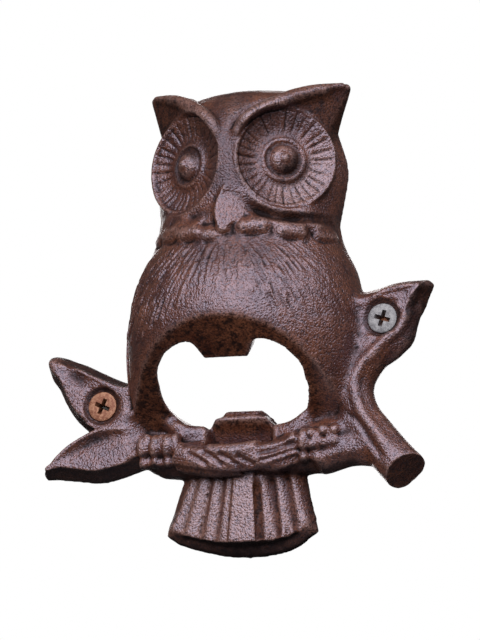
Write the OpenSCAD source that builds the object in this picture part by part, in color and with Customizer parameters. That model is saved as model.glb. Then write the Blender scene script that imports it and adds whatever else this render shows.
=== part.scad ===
// Wall bottle opener cast in iron as an owl on a branch, with its two wood screws.
// Millimetres. X runs to the right, Y into the wall and Z up. The wall is the plane Y = 0
// and the origin lies on the wall midway between the two screws.

/* [Owl body] */
// Width of the body at its widest
body_w = 69; // [64:1:76]
// Depth of the belly in front of the wall
body_d = 28; // [25:0.5:32]
// Height of the shoulders
body_top = 40; // [36:1:44]
// Depth of the underside of the body below the screws
body_foot = 31; // [29:0.5:34]
// Distance of the middle toe of a foot from the middle of the owl
foot_x = 23.4; // [22:0.2:25]
// Height of the toes above the underside of the body
foot_rise = 8; // [7:0.25:9]
// Width of a toe
toe_w = 4.2; // [3.4:0.1:4.8]
// Thickness of a strand of the belly feathers above the tail
covert_t = 5; // [4:0.1:5.6]
// Thickness of the iron shell
shell = 5; // [4:0.25:6]

/* [Bottle mouth] */
// Lean of the mouth plate away from the wall, in degrees
mouth_lean = 43; // [38:1:46]
// Thickness of the mouth plate
plate_t = 4.5; // [3.5:0.25:5.5]
// Width of the mouth
mouth_w = 42; // [38:0.5:46]
// Height of the mouth along the plate
mouth_h = 28.6; // [25:0.2:31]
// Corner radius of the mouth
mouth_r = 12.5; // [8:0.5:13.5]
// Height of the middle of the mouth below the screws
mouth_drop = 7.7; // [6.5:0.1:9]
// Distance of the middle of the mouth from the wall
mouth_out = 12.6; // [11.5:0.1:14]
// Width of the edge of the upper tooth, which presses on the cap
upper_tooth_w = 12.4; // [9:0.2:15]
// Reach of the upper tooth into the mouth
upper_tooth_reach = 5.6; // [4:0.2:7]
// Width of the edge of the lower tooth, which catches the cap's rim
lower_tooth_w = 9.4; // [7:0.2:12]
// Reach of the lower tooth into the mouth
lower_tooth_reach = 4.7; // [3.5:0.1:6]
// Spread of the upper tooth on each side from its edge to its root
upper_tooth_flare = 2.8; // [1.5:0.1:4]
// Spread of the lower tooth on each side from its edge to its root
lower_tooth_flare = 4.2; // [2:0.1:5]
// Radius at the roots of the teeth
tooth_root_r = 2.6; // [1:0.1:3]
// Growth of the mouth from the front of the plate to its back
mouth_flare = 0.12; // [0:0.01:0.15]

/* [Owl head] */
// Width of the head at the cheeks
head_w = 56; // [52:1:62]
// Depth of the head at the bridge between the eyes
head_d = 24; // [21:0.5:27]
// Height of the crown
crown = 77.3; // [73:0.1:80]
// Height of the ear tips
ear_tip = 78; // [75:0.5:81]
// Distance between the ear tips
ear_span = 56.4; // [50:0.2:60]
// Height of an ear tuft
tuft = 15; // [13:0.5:17]
// Thickness of a brow
brow_t = 4.6; // [3.8:0.1:5.2]
// Height of the beak
beak_h = 12; // [10:0.25:13]
// Width of the beak
beak_w = 9.4; // [8:0.2:10]
// Distance by which the beak stands out of the face
beak_out = 2.6; // [2:0.1:3.4]
// Width of a scallop under the face
scallop_w = 9.2; // [8:0.2:10.5]
// Radius of an eye dish
eye_r = 14.4; // [12.5:0.1:14.8]
// Distance between the pupils
eye_span = 29.2; // [28:0.2:31]
// Height of the pupils
eye_height = 54.5; // [52:0.5:57]
// Distance of the pupils' dish plane from the wall
eye_out = 16.6; // [15:0.2:18.5]
// Angle by which each eye turns outward, in degrees
eye_turn = 30; // [24:1:34]
// Depth of an eye dish
dish = 2.6; // [1.8:0.1:3.2]
// Number of flutes around a dish
flutes = 24; // [16:1:30]

/* [Tail] */
// Width of the tail at its lower corners
tail_w = 45.6; // [40:0.2:50]
// Width of the tail where it leaves the body
tail_root_w = 33.6; // [30:0.2:38]
// Height of the lower corners of the tail below the screws
tail_corner = 47; // [44:0.2:50]
// Lowest point of the tail below the screws
tail_foot = 53.4; // [51:0.2:57]
// Thickness of the tail at its middle feather
tail_t = 8; // [6.5:0.25:10]
// Slope of the tail's side walls, as the set-in at the front
tail_draft = 3.2; // [1.5:0.1:4]
// Step from one tail feather down to the next
feather_step = 0.9; // [0.4:0.1:1.2]

/* [Leaves and branch] */
// Thickness of a leaf
leaf_t = 7.5; // [6.5:0.25:9]
// Slope of the leaf walls, as the set-in at the front
leaf_draft = 2.8; // [1.5:0.1:3.5]
// Width of the raised rim around a leaf
leaf_rim = 2; // [1.4:0.1:2.6]
// Depth of the face of a leaf below its rim
leaf_dish = 0.9; // [0.4:0.1:1.4]
// Reach of the left leaves from the middle of the owl
left_reach = 58.8; // [56:0.2:62]
// Reach of the right leaf from the middle of the owl
right_reach = 52.6; // [50:0.2:56]
// Width of the upper left leaf
upper_leaf_w = 16.4; // [14:0.2:18]
// Width of the lower left leaf
lower_leaf_w = 15.6; // [12:0.2:18]
// Width of the right leaf
right_leaf_w = 17.6; // [16:0.2:20]
// Radius of the branch at its cut end
branch_r = 6; // [5:0.25:7]
// Distance of the sawn end of the branch from the middle of the owl
stub_x = 48.7; // [46:0.1:50]
// Depth of the sawn end below the screws
stub_drop = 33; // [31:0.2:35]

/* [Screws] */
// Distance between the screws across the opener
screw_across = 80.8; // [78:0.2:84]
// Height of the right screw above the left one
screw_rise = 21; // [18:0.2:24]
// Diameter of a screw over its thread
screw_d = 4; // [3.5:0.1:4.5]
// Diameter of the plain shank under the head
shank_d = 3.4; // [2.8:0.1:3.8]
// Diameter of a screw head
screw_head_d = 8.3; // [7.6:0.1:9]
// Length of a screw
screw_l = 28; // [22:1:40]
// Distance from the wall at which the thread starts
thread_start = 0.3; // [0.2:0.05:0.5]
// Clearance around a screw in its hole
screw_gap = 0.3; // [0.2:0.05:0.6]
// Clearance between a screw head and its countersink
seat_gap = 0.1; // [0.05:0.05:0.3]
// Width of the open ring around a screw head
ring_w = 1.1; // [0.8:0.1:1.6]
// Turn of the left screw's cross recess, in degrees
left_turn = -23; // [-45:1:45]
// Turn of the right screw's cross recess, in degrees
right_turn = -17; // [-45:1:45]

/* [Hidden] */
iron = [0.30, 0.20, 0.18];
rusted = [0.62, 0.38, 0.28];
zinc = [0.62, 0.62, 0.64];
// A margin by which cuts run past the faces they open
past = 1;
// More than the whole casting, for half spaces
far = 120;
// Iron left between the pocket under the lower tooth and the wall
pocket_floor = 3.5;
// Height of that pocket above the underside of the body
pocket_foot = 7.2;
body_half = body_w / 2;
head_half = head_w / 2;
eye_x = eye_span / 2;
ear_x = ear_span / 2;
// Lowest ring of the head, inside the neck
neck = body_top - 0.32 * head_half;
// Radii within an eye dish
ring_r = 0.46 * eye_r;
moat_r = 0.36 * eye_r;
pupil_r = 0.26 * eye_r;
// Height of the toes
foot_z = foot_rise - body_foot;
// The tail starts this high, inside the body
tail_high = 0.5 * tail_t - body_foot;
// Screw places as [x, z]
left_at = [-screw_across / 2, -screw_rise / 2];
right_at = [screw_across / 2, screw_rise / 2];
// A countersunk head's flat lies this far in front of the wall
head_front = leaf_t - leaf_dish;
// Cone of a 90 degree countersunk head
head_cone = (screw_head_d - shank_d) / 2;
head_rim = 0.5;
// Share of the body's height, share of its half width, share of its depth
body_rows = [
    [0, 0.68, 0.3],
    [0.04, 0.81, 0.39],
    [0.1, 0.87, 0.46],
    [0.2, 0.93, 0.6],
    [0.34, 0.98, 0.8],
    [0.48, 1, 0.955],
    [0.59, 0.995, 1],
    [0.7, 0.96, 0.985],
    [0.8, 0.9, 0.91],
    [0.9, 0.795, 0.82],
    [1, 0.74, 0.75],
];
// Share of the head's height, share of its half width, share of its depth, fullness
head_rows = [
    [0, 0.91, 0.84, 2.1],
    [0.12, 0.915, 0.9, 2.1],
    [0.3, 0.965, 0.97, 1.75],
    [0.5, 1, 1, 1.5],
    [0.64, 0.94, 0.98, 1.5],
    [0.77, 0.86, 0.92, 1.55],
    [0.88, 0.81, 0.78, 1.6],
    [0.96, 0.74, 0.58, 1.6],
    [1, 0.52, 0.34, 1.7],
];
// Fullness of the body's cross sections: 2 is an ellipse, less is a prow
body_round = 2.02;
// Share of a leaf's length, share of its upper half width, share of its lower one
leaf_rows = [
    [0, 1.5, 0.9],
    [0.25, 1.16, 1],
    [0.5, 0.98, 0.96],
    [0.75, 0.74, 0.56],
    [0.92, 0.38, 0.24],
    [1, 0.14, 0.12],
];

// The piece of a table that holds t
function span(rows, t, i = 0) =
    (i >= len(rows) - 2 || t < rows[i + 1][0]) ? i : span(rows, t, i + 1);

// A table's row at t, eased through its neighbours
function eased(rows, t) =
    let (
        i = span(rows, t),
        a = rows[max(i - 1, 0)],
        b = rows[i],
        c = rows[i + 1],
        d = rows[min(i + 2, len(rows) - 1)],
        h = c[0] - b[0],
        s = (t - b[0]) / h,
        m = (c - a) * h / (c[0] - a[0]),
        k = (d - b) * h / (d[0] - b[0])
    )
    b * (1 + s * s * (2 * s - 3)) + m * s * (s - 1) * (s - 1)
    + c * s * s * (3 - 2 * s) + k * s * s * (s - 1);

// Half of a rounded ring, flat on the wall, at height z
function half_ring(w, d, z, fullness, steps) = [
    for (i = [0 : steps])
        let (
            a = 180 * i / steps,
            c = cos(a),
            p = 2 / fullness
        )
        [-w * sign(c) * pow(abs(c), p), -d * pow(sin(a), p), z]
];

// Rings of a form that stands on the wall, from a table of widths and depths
function wall_rings(rows, low, high, w, d, rings, steps) = [
    for (k = [0 : rings])
        let (r = eased(rows, k / rings))
        half_ring(w * r[1], d * r[2], low + (high - low) * k / rings, r[3], steps)
];

function unit(v) = v / norm(v);

// Rings across a path whose rows are [t, x, y, z, radius]
function path_rings(rows, rings, sides) = [
    for (k = [0 : rings])
        let (
            t = k / rings,
            p = eased(rows, t),
            ahead = eased(rows, min(t + 0.02, 1)) - eased(rows, max(t - 0.02, 0)),
            along = unit([ahead[1], ahead[2], ahead[3]]),
            u = unit(cross(along, [0, -1, 0])),
            v = cross(along, u)
        )
        [for (j = [0 : sides - 1])
            [p[1], p[2], p[3]] + p[4] * (u * cos(360 * j / sides) + v * sin(360 * j / sides))]
];

// A solid through rings that each have the same number of points
module loft(rings) {
    n = len(rings[0]);
    m = len(rings);
    points = [for (r = rings) each r];
    walls = [
        for (k = [0 : m - 2])
            for (j = [0 : n - 1])
                let (
                    a = k * n + j,
                    b = k * n + (j + 1) % n
                )
                each [[b + n, b, a], [a + n, b + n, a]]
    ];
    start = [for (j = [0 : n - 1]) j];
    end = [for (j = [n - 1 : -1 : 0]) (m - 1) * n + j];
    polyhedron(points, concat([start], walls, [end]), convexity = 6);
}

module strand(rows, rings = 10, sides = 8) {
    loft(path_rings(rows, rings, sides));
}

module both_sides() {
    children();
    mirror([1, 0, 0]) children();
}

// An egg with three half widths
module egg(size, sides = 12) {
    scale(size) sphere(1, $fn = sides);
}

// Carries the mouth plate's own axes to the owl: X across, Y up the plate, Z out of its face
module on_plate() {
    translate([0, -mouth_out, -mouth_drop]) rotate([90 + mouth_lean, 0, 0]) children();
}

// Body

module body_form(inset, set_back, low, high, rings, steps) {
    t0 = (low + body_foot) / (body_top + body_foot);
    t1 = (high + body_foot) / (body_top + body_foot);
    loft([
        for (k = [0 : rings])
            let (
                t = t0 + (t1 - t0) * k / rings,
                r = eased(body_rows, t),
                z = low + (high - low) * k / rings
            )
            half_ring(body_half * r[1] - inset, body_d * r[2] - set_back, z, body_round, steps)
    ]);
}

module tooth_2d(edge, flare, root, reach) {
    polygon([
        [-edge / 2 - flare, root],
        [-edge / 2, root - reach],
        [edge / 2, root - reach],
        [edge / 2 + flare, root],
        [edge / 2 + flare, root + past],
        [-edge / 2 - flare, root + past],
    ]);
}

module mouth_2d() {
    offset(r = tooth_root_r, $fn = 32) offset(delta = -tooth_root_r)
        difference() {
            offset(r = mouth_r, $fn = 48)
                square([mouth_w - 2 * mouth_r, mouth_h - 2 * mouth_r], center = true);
            tooth_2d(upper_tooth_w, upper_tooth_flare, mouth_h / 2, upper_tooth_reach);
            rotate(180) tooth_2d(lower_tooth_w, lower_tooth_flare, mouth_h / 2, lower_tooth_reach);
        }
}

// The way through the plate, growing towards the back as the sand core draws out
module mouth() {
    on_plate() {
        linear_extrude(far / 2) mouth_2d();
        mirror([0, 0, 1]) linear_extrude(2 * plate_t, scale = 1 + 2 * mouth_flare) mouth_2d();
    }
}

// Everything in front of the mouth plate and above the lower edge of the mouth
module front_of_plate() {
    pocket_w = lower_tooth_w + 2 * lower_tooth_flare;
    on_plate() translate([-far / 2, -mouth_h / 2, 0]) cube([far, far, far]);
    intersection() {
        on_plate() translate([-pocket_w / 2, -far / 2, 0]) cube([pocket_w, far, far]);
        translate([-far / 2, -far - pocket_floor, pocket_foot - body_foot]) cube([far, far, far]);
    }
}

// The hollow that a sand core leaves behind the shell
module core() {
    core_low = 0.2 * shell - mouth_drop - mouth_h / 2 * cos(mouth_lean);
    difference() {
        union() {
            body_form(1.2 * shell, shell, core_low, body_top, 14, 16);
            loft(wall_rings(head_rows, neck, crown - 1.6 * shell,
                head_half - 1.4 * shell, head_d - 1.5 * shell, 12, 16));
        }
        on_plate() translate([-far / 2, -far / 2, -plate_t]) cube([far, far, far]);
    }
}

module body() {
    difference() {
        body_form(0, 0, -body_foot, body_top, 24, 22);
        front_of_plate();
    }
}

// Head

module head_form() {
    loft(wall_rings(head_rows, neck, crown, head_half, head_d, 20, 24));
}

// Carries an eye's own axes to the right side of the head: Z out of the dish
module on_eye() {
    translate([eye_x, -eye_out, eye_height]) rotate([90, 0, eye_turn]) children();
}

module eye_space() {
    low_r = 0.79 * eye_r;
    high_r = 0.958 * eye_r;
    on_eye() translate([0, 0, -dish]) cylinder(r1 = low_r, r2 = high_r, h = 1.01 * dish, $fn = 36);
    on_eye() cylinder(r = high_r, h = far / 6, $fn = 36);
}

// Raised rim, fluted dish, ring, moat and pupil as one turned form
module eye() {
    on_eye() {
        rotate_extrude($fn = 36) polygon([
            [0, -2.15 * dish],
            [0.97 * eye_r, -2.15 * dish],
            [1.03 * eye_r, -0.58 * dish],
            [eye_r, 0.12 * dish],
            [0.93 * eye_r, 0.35 * dish],
            [0.87 * eye_r, 0.08 * dish],
            [1.12 * ring_r, -0.85 * dish],
            [ring_r, -0.38 * dish],
            [1.1 * moat_r, -0.46 * dish],
            [moat_r, -dish],
            [pupil_r, -1.04 * dish],
            [0.8 * pupil_r, -0.38 * dish],
            [0.4 * pupil_r, 0.04 * dish],
            [0, 0.15 * dish],
        ]);
        for (i = [0 : flutes - 1])
            rotate(360 * i / flutes) flute();
    }
}

// One ridge between two flutes, wider towards the rim
module flute() {
    inner = 1.09 * ring_r;
    outer = 0.917 * eye_r;
    a = 0.19 * 2 * PI * inner / flutes;
    b = 0.26 * 2 * PI * outer / flutes;
    base = -1.4 * dish;
    loft([
        [[inner, -a, base], [inner, a, base], [inner, 0, -0.65 * dish]],
        [[outer, -b, base], [outer, b, base], [outer, 0, 0.27 * dish]],
    ]);
}

module ear_tuft() {
    hull() {
        translate([ear_x, -0.35 * tuft, ear_tip - 0.08 * tuft]) sphere(0.087 * tuft, $fn = 10);
        translate([ear_x - 0.95 * tuft, -tuft, ear_tip - 0.46 * tuft]) sphere(0.19 * tuft, $fn = 10);
        translate([ear_x - 0.4 * tuft, -0.53 * tuft, ear_tip - tuft]) sphere(0.147 * tuft, $fn = 10);
        translate([ear_x - 0.8 * tuft, -0.2 * tuft, ear_tip - 0.53 * tuft]) sphere(0.187 * tuft, $fn = 10);
        translate([ear_x - 0.4 * tuft, -0.16 * tuft, ear_tip - tuft]) sphere(0.16 * tuft, $fn = 10);
    }
}

module brow() {
    strand([
        [0, 0.07 * eye_r, 0.57 * brow_t - head_d, eye_height + 0.14 * eye_r, 0.35 * brow_t],
        [0.2, 0.32 * eye_r, 0.22 * brow_t - head_d, eye_height + 0.625 * eye_r, 0.5 * brow_t],
        [0.45, 0.764 * eye_r, -0.79 * head_d, eye_height + 1.014 * eye_r, 0.52 * brow_t],
        [0.72, ear_x - 0.6 * tuft, -0.54 * head_d, ear_tip - 0.27 * tuft, 0.46 * brow_t],
        [1, ear_x - 0.033 * tuft, -0.43 * tuft, ear_tip - 0.067 * tuft, 0.26 * brow_t],
    ], 14, 8);
}

module beak() {
    r = 0.07 * beak_h;
    top = eye_height - 0.625 * eye_r;
    hull() {
        translate([0, 0.2 * beak_out - head_d, top]) sphere(r, $fn = 8);
        translate([0, -beak_out - head_d, top - 0.58 * beak_h]) sphere(r, $fn = 8);
        translate([0, 0.2 * beak_out - head_d, top - beak_h]) sphere(r, $fn = 8);
        both_sides()
            translate([beak_w / 2 - r, beak_out - head_d, top - 0.5 * beak_h]) sphere(r, $fn = 8);
    }
}

// Scalloped feathers where the face meets the breast
module ruff() {
    for (a = [12, 36, 58, 80]) {
        x = 0.87 * head_half * sin(a);
        y = -0.87 * head_d * pow(cos(a), 0.8);
        z = neck + scallop_w * (0.48 + 0.33 * sin(a) * sin(a));
        both_sides() translate([x, y, z]) rotate([0, 0, a]) egg(scallop_w * [0.5, 0.207, 0.326], 12);
    }
}

module head() {
    difference() {
        union() {
            head_form();
            both_sides() ear_tuft();
            both_sides() brow();
        }
        both_sides() eye_space();
    }
    both_sides() eye();
    beak();
    ruff();
}

// Perch, feet and tail

module toes() {
    for (i = [-1 : 1]) {
        x = foot_x + 0.9 * toe_w * i;
        out = (1.9 - 0.14 * i) * toe_w;
        translate([x, -out, foot_z]) egg(toe_w * [0.5, 0.65, 0.86], 10);
        translate([x, 0.14 * toe_w - out, foot_z - toe_w]) egg(toe_w * [0.38, 0.5, 0.5], 8);
    }
}

// Belly feathers that lie over the perch as a loose twist
module coverts() {
    w = foot_x - 1.4 * toe_w;
    h = covert_t;
    strand([[0, -w, -1.75 * h, foot_z - 0.2 * h, 0.44 * h],
        [0.5, 0, -2.3 * h, foot_z - 0.6 * h, 0.5 * h],
        [1, w, -1.77 * h, foot_z + 0.1 * h, 0.44 * h]]);
    strand([[0, -w, -1.8 * h, foot_z - 0.75 * h, 0.4 * h],
        [0.5, -0.34 * w, -2.15 * h, foot_z - 1.2 * h, 0.48 * h],
        [1, 0.4 * w, -2.05 * h, foot_z - 1.4 * h, 0.2 * h]]);
    strand([[0, -0.96 * w, -1.6 * h, foot_z - 1.18 * h, 0.32 * h],
        [0.5, -0.5 * w, -1.8 * h, foot_z - 1.5 * h, 0.38 * h],
        [1, 0, -1.8 * h, foot_z - 1.66 * h, 0.18 * h]]);
    strand([[0, 0, -2.1 * h, foot_z - 1.3 * h, 0.2 * h],
        [0.5, 0.5 * w, -2.12 * h, foot_z - h, 0.48 * h],
        [1, w, -1.72 * h, foot_z - 0.4 * h, 0.42 * h]]);
    strand([[0, 0.35 * w, -1.8 * h, foot_z - 1.52 * h, 0.2 * h],
        [0.5, 0.68 * w, -1.8 * h, foot_z - 1.36 * h, 0.36 * h],
        [1, 0.98 * w, -1.52 * h, foot_z - h, 0.3 * h]]);
}

// The tail's outline, set in on every side
function tail_ring(y, inset) =
    let (
        half = tail_w / 2 - inset,
        root = tail_root_w / 2 - inset,
        corner = -tail_corner + inset / 2,
        flare = root + 0.6 * (half - root),
        flare_z = corner + 0.13 * tail_w,
        sag = tail_foot - tail_corner - inset / 2,
        r = (half * half + sag * sag) / (2 * sag),
        sweep = asin(half / r),
        mid = -tail_foot + inset + r
    )
    concat(
        [[root, y, tail_high], [-root, y, tail_high], [-flare, y, flare_z]],
        [for (i = [0 : 12]) let (a = -sweep + 2 * sweep * i / 12) [r * sin(a), y, mid - r * cos(a)]],
        [[flare, y, flare_z]]
    );

// One feather from its root edge to its tip, highest along its inner side
function feather_ring(inner, outer, top, z) =
    let (crest = inner + 0.5 * (outer - inner))
    [[inner, 0, z], [outer, 0, z], [outer, -top + 2 * feather_step, z], [crest, -top, z], [inner, -top, z]];

module tail() {
    root = tail_root_w / 2 - tail_draft;
    tip = tail_w / 2 - tail_draft;
    mid_root = 0.08 * tail_root_w;
    mid_tip = 0.094 * tail_w;
    root_step = (root - mid_root) / 3;
    tip_step = (tip - mid_tip) / 3;
    high = tail_high;
    low = -tail_foot;
    loft([tail_ring(0, 0), tail_ring(-0.19 * tail_t, 0.1 * tail_draft),
        tail_ring(4 * feather_step - tail_t, tail_draft)]);
    intersection() {
        union() {
            loft([
                for (end = [[mid_tip, low], [mid_root, high]])
                    [for (p = [[-1, 0], [-1, -tail_t], [1, -tail_t], [1, 0]]) [p[0] * end[0], p[1], end[1]]]
            ]);
            both_sides()
                for (k = [0 : 2]) {
                    top = tail_t - feather_step * (k + 1);
                    loft([
                        feather_ring(mid_root + k * root_step, mid_root + (k + 1) * root_step, top, high),
                        feather_ring(mid_tip + k * tip_step, mid_tip + (k + 1) * tip_step, top, low),
                    ]);
                }
        }
        loft([tail_ring(past, 0.7 * tail_draft), tail_ring(-tail_t - past, tail_draft)]);
    }
}

// Leaves and branch

// A leaf's outline at depth y, seen from the front, from its midrib's three guide points
function leaf_ring(base, bend, tip, w, y, inset) =
    let (
        n = 12,
        side = [
            for (i = [0 : n])
                let (
                    t = i / n * (1 - inset / norm(tip - base)),
                    p = base * (1 - t) * (1 - t) + bend * 2 * t * (1 - t) + tip * t * t,
                    g = unit((bend - base) * (1 - t) + (tip - bend) * t),
                    r = eased(leaf_rows, i / n),
                    flip = tip[0] > base[0] ? 1 : -1,
                    lower = max(w / 2 * (flip > 0 ? r[2] : r[1]) - inset, 0.05 * leaf_t),
                    upper = max(w / 2 * (flip > 0 ? r[1] : r[2]) - inset, 0.05 * leaf_t)
                )
                [p + lower * [g[1], -g[0]], p - upper * [g[1], -g[0]]]
        ]
    )
    concat(
        [for (i = [0 : n]) [side[i][0][0], y, side[i][0][1]]],
        [for (i = [n : -1 : 0]) [side[i][1][0], y, side[i][1][1]]]
    );

module leaf(base, bend, tip, w) {
    difference() {
        loft([
            leaf_ring(base, bend, tip, w, 0, 0),
            leaf_ring(base, bend, tip, w, -0.27 * leaf_t, 0.1 * leaf_draft),
            leaf_ring(base, bend, tip, w, -leaf_t, leaf_draft),
        ]);
        loft([
            leaf_ring(base, bend, tip, w, -leaf_t + leaf_dish, leaf_draft + leaf_rim),
            leaf_ring(base, bend, tip, w, -leaf_t - past, leaf_draft + 0.8 * leaf_rim),
        ]);
    }
}

module left_leaves() {
    w = upper_leaf_w;
    v = lower_leaf_w;
    tip_x = -left_reach;
    z = left_at[1];
    leaf(left_at + w * [0.573, -0.274], left_at + w * [-0.305, 0.067], [tip_x, z + 0.957 * w], w);
    difference() {
        leaf(left_at + v * [0.73, -0.647], left_at + v * [-0.23, -0.814], [tip_x, z - 1.173 * v], v);
        strand([
            [0, left_at[0] + 0.667 * v, -leaf_t, z - 0.57 * v, 0.07 * v],
            [0.5, left_at[0] - 0.1 * v, -leaf_t, z - 0.596 * v, 0.07 * v],
            [1, tip_x + 0.115 * v, -leaf_t, z - 1.096 * v, 0.032 * v],
        ], 8, 6);
    }
}

module right_leaf() {
    w = right_leaf_w;
    tip = [right_reach, right_at[1] + 0.608 * w];
    leaf(right_at + w * [-0.614, -0.153], right_at + w * [0.09, 0.028], tip, w);
}

// Stem from the right leaf down to the sawn stub, and the perch behind the feet
module branch() {
    r = branch_r;
    intersection() {
        union() {
            strand([
                [0, right_at[0] + 0.25 * r, -0.67 * r, right_at[1] - 0.58 * r, 0.83 * r],
                [0.3, 0.98 * body_half, -0.7 * r, -0.15 * stub_drop, 0.77 * r],
                [0.55, 0.977 * body_half, -0.73 * r, -0.424 * stub_drop, 0.87 * r],
                [0.8, 0.838 * stub_x, -0.8 * r, -0.74 * stub_drop, 0.97 * r],
                [1, stub_x, -0.87 * r, -stub_drop, r],
            ], 14, 12);
            strand([
                [0, -0.957 * body_half, -0.6 * r, -0.73 * body_foot, 0.6 * r],
                [0.5, 0, -0.73 * r, -0.84 * body_foot, 0.77 * r],
                [1, 1.07 * body_half, -0.7 * r, -0.57 * body_foot, 0.7 * r],
            ], 12, 10);
            strand([
                [0, 0.64 * body_half, -0.7 * r, -0.89 * body_foot, 0.83 * r],
                [0.5, 0.93 * body_half, -0.7 * r, -0.79 * body_foot, 0.88 * r],
                [1, 0.85 * stub_x, -0.73 * r, -0.776 * stub_drop, 0.83 * r],
            ], 6, 10);
        }
        translate([-far / 2, -far, -far / 2]) cube([far, far, far]);
    }
}

// Casting

module screw_pad(at) {
    translate([at[0], 0, at[1]]) rotate([90, 0, 0])
        cylinder(r = screw_head_d / 2 + 2.1 * ring_w, h = leaf_t - leaf_dish / 2, $fn = 40);
}

module sculpture() {
    difference() {
        union() {
            body();
            head();
            both_sides() toes();
            coverts();
            tail();
            left_leaves();
            right_leaf();
            branch();
            screw_pad(left_at);
            screw_pad(right_at);
        }
        core();
        mouth();
        translate([-far / 2, 0, -far]) cube([far, far, 2 * far]);
    }
}

// A countersunk hole with an open ring around the head
module screw_hole(at) {
    hole_r = screw_d / 2 + screw_gap;
    seat_r = screw_head_d / 2 + screw_gap;
    translate([at[0], past, at[1]]) rotate([90, 0, 0]) {
        cylinder(r = hole_r, h = leaf_t + 2 * past, $fn = 48);
        translate([0, 0, past + head_front - head_rim - head_cone - seat_gap])
            cylinder(r1 = shank_d / 2, r2 = seat_r, h = head_cone + screw_gap, $fn = 48);
        translate([0, 0, past + head_front - head_rim - seat_gap + screw_gap])
            cylinder(r = screw_head_d / 2 + ring_w, h = leaf_t, $fn = 48);
    }
}

module owl_casting() {
    color(iron)
        difference() {
            resize([0, body_d, 0]) sculpture();
            screw_hole(left_at);
            screw_hole(right_at);
        }
}

// Screws

module cross_recess() {
    arm = 0.15 * screw_head_d;
    reach = 0.277 * screw_head_d;
    deep = 0.29 * screw_head_d;
    intersection() {
        union() {
            translate([-arm / 2, -reach, -deep]) cube([arm, 2 * reach, deep + past]);
            translate([-reach, -arm / 2, -deep]) cube([2 * reach, arm, deep + past]);
        }
        translate([0, 0, -deep]) cylinder(r1 = 0.2 * reach, r2 = 1.3 * reach, h = deep + past, $fn = 48);
    }
}

module screw(at, turn) {
    neck_len = head_rim + head_cone;
    shank_len = head_front + thread_start;
    point = 1.6 * screw_d;
    thread_len = screw_l - point - shank_len;
    $fn = 48;
    translate([at[0], -head_front, at[1]]) rotate([90, 0, 0])
        difference() {
            union() {
                translate([0, 0, -head_rim]) cylinder(d = screw_head_d, h = head_rim);
                translate([0, 0, -neck_len]) cylinder(d1 = shank_d, d2 = screw_head_d, h = head_cone);
                translate([0, 0, -shank_len]) cylinder(d = shank_d, h = shank_len - neck_len);
                translate([0, 0, point - screw_l]) cylinder(d = screw_d, h = thread_len);
                translate([0, 0, -screw_l]) cylinder(d1 = 0.1 * screw_d, d2 = screw_d, h = point);
            }
            rotate(turn) cross_recess();
        }
}

module left_screw() {
    color(rusted) screw(left_at, left_turn);
}

module right_screw() {
    color(zinc) screw(right_at, right_turn);
}

owl_casting();
left_screw();
right_screw();
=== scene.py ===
import math

import bmesh
import bpy
import numpy as np
from mathutils import Matrix, Vector
from mathutils.bvhtree import BVHTree


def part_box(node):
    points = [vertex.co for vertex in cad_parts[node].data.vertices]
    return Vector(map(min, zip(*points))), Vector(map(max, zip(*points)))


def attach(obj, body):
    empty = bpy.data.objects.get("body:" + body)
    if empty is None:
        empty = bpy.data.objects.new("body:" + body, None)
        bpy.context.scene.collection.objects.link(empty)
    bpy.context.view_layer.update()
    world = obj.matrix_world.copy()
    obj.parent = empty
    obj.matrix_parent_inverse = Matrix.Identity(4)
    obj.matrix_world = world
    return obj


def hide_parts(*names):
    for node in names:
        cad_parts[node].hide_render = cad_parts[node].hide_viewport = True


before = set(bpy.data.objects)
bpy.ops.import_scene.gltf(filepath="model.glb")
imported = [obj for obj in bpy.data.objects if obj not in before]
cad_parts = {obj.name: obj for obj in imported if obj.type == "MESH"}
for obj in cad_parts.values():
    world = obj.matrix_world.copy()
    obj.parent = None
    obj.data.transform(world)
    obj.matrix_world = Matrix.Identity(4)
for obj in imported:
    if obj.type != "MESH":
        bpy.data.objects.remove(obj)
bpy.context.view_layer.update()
mm = 0.001
scene = bpy.context.scene
scene.view_settings.view_transform = "Standard"
print("frame loaded:", sorted(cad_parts))


# sRGB hex to linear colour
def tint(hexText):
    channels = [int(hexText[i:i + 2], 16) / 255 for i in (1, 3, 5)]
    return [c / 12.92 if c <= 0.04045 else ((c + 0.055) / 1.055) ** 2.4 for c in channels] + [1]


# Nodes

# one node with its settings, and its inputs linked or set
def addNode(tree, kind, inputs=None, **settings):
    node = tree.nodes.new(kind)
    for key, value in settings.items():
        setattr(node, key, value)
    for key, value in (inputs or {}).items():
        if isinstance(value, bpy.types.NodeSocket):
            tree.links.new(value, node.inputs[key])
        else:
            node.inputs[key].default_value = value
    return node


# a sum, product or the like of numbers
def maths(tree, operation, *values):
    return addNode(tree, "ShaderNodeMath", dict(enumerate(values)), operation=operation).outputs[0]


def product(tree, *values):
    result = values[0]
    for value in values[1:]:
        result = maths(tree, "MULTIPLY", result, value)
    return result


# maths on vectors; a length or a dot product gives a number
def vectors(tree, operation, *values, gives="Vector"):
    node = addNode(tree, "ShaderNodeVectorMath", dict(enumerate(values)), operation=operation)
    return node.outputs[gives]


def scaled(tree, vector, factor):
    return addNode(tree, "ShaderNodeVectorMath", {0: vector, 3: factor}, operation="SCALE").outputs[0]


# turned about the upright axis
def turned(tree, vector, angle):
    inputs = {"Vector": vector, "Angle": angle}
    return addNode(tree, "ShaderNodeVectorRotate", inputs, rotation_type="Z_AXIS").outputs[0]


def axes(tree, vector):
    return addNode(tree, "ShaderNodeSeparateXYZ", {0: vector}).outputs


def fromAxes(tree, **parts):
    return addNode(tree, "ShaderNodeCombineXYZ", parts).outputs[0]


def position(tree):
    return addNode(tree, "GeometryNodeInputPosition").outputs[0]


def normal(tree):
    return addNode(tree, "GeometryNodeInputNormal").outputs[0]


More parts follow.
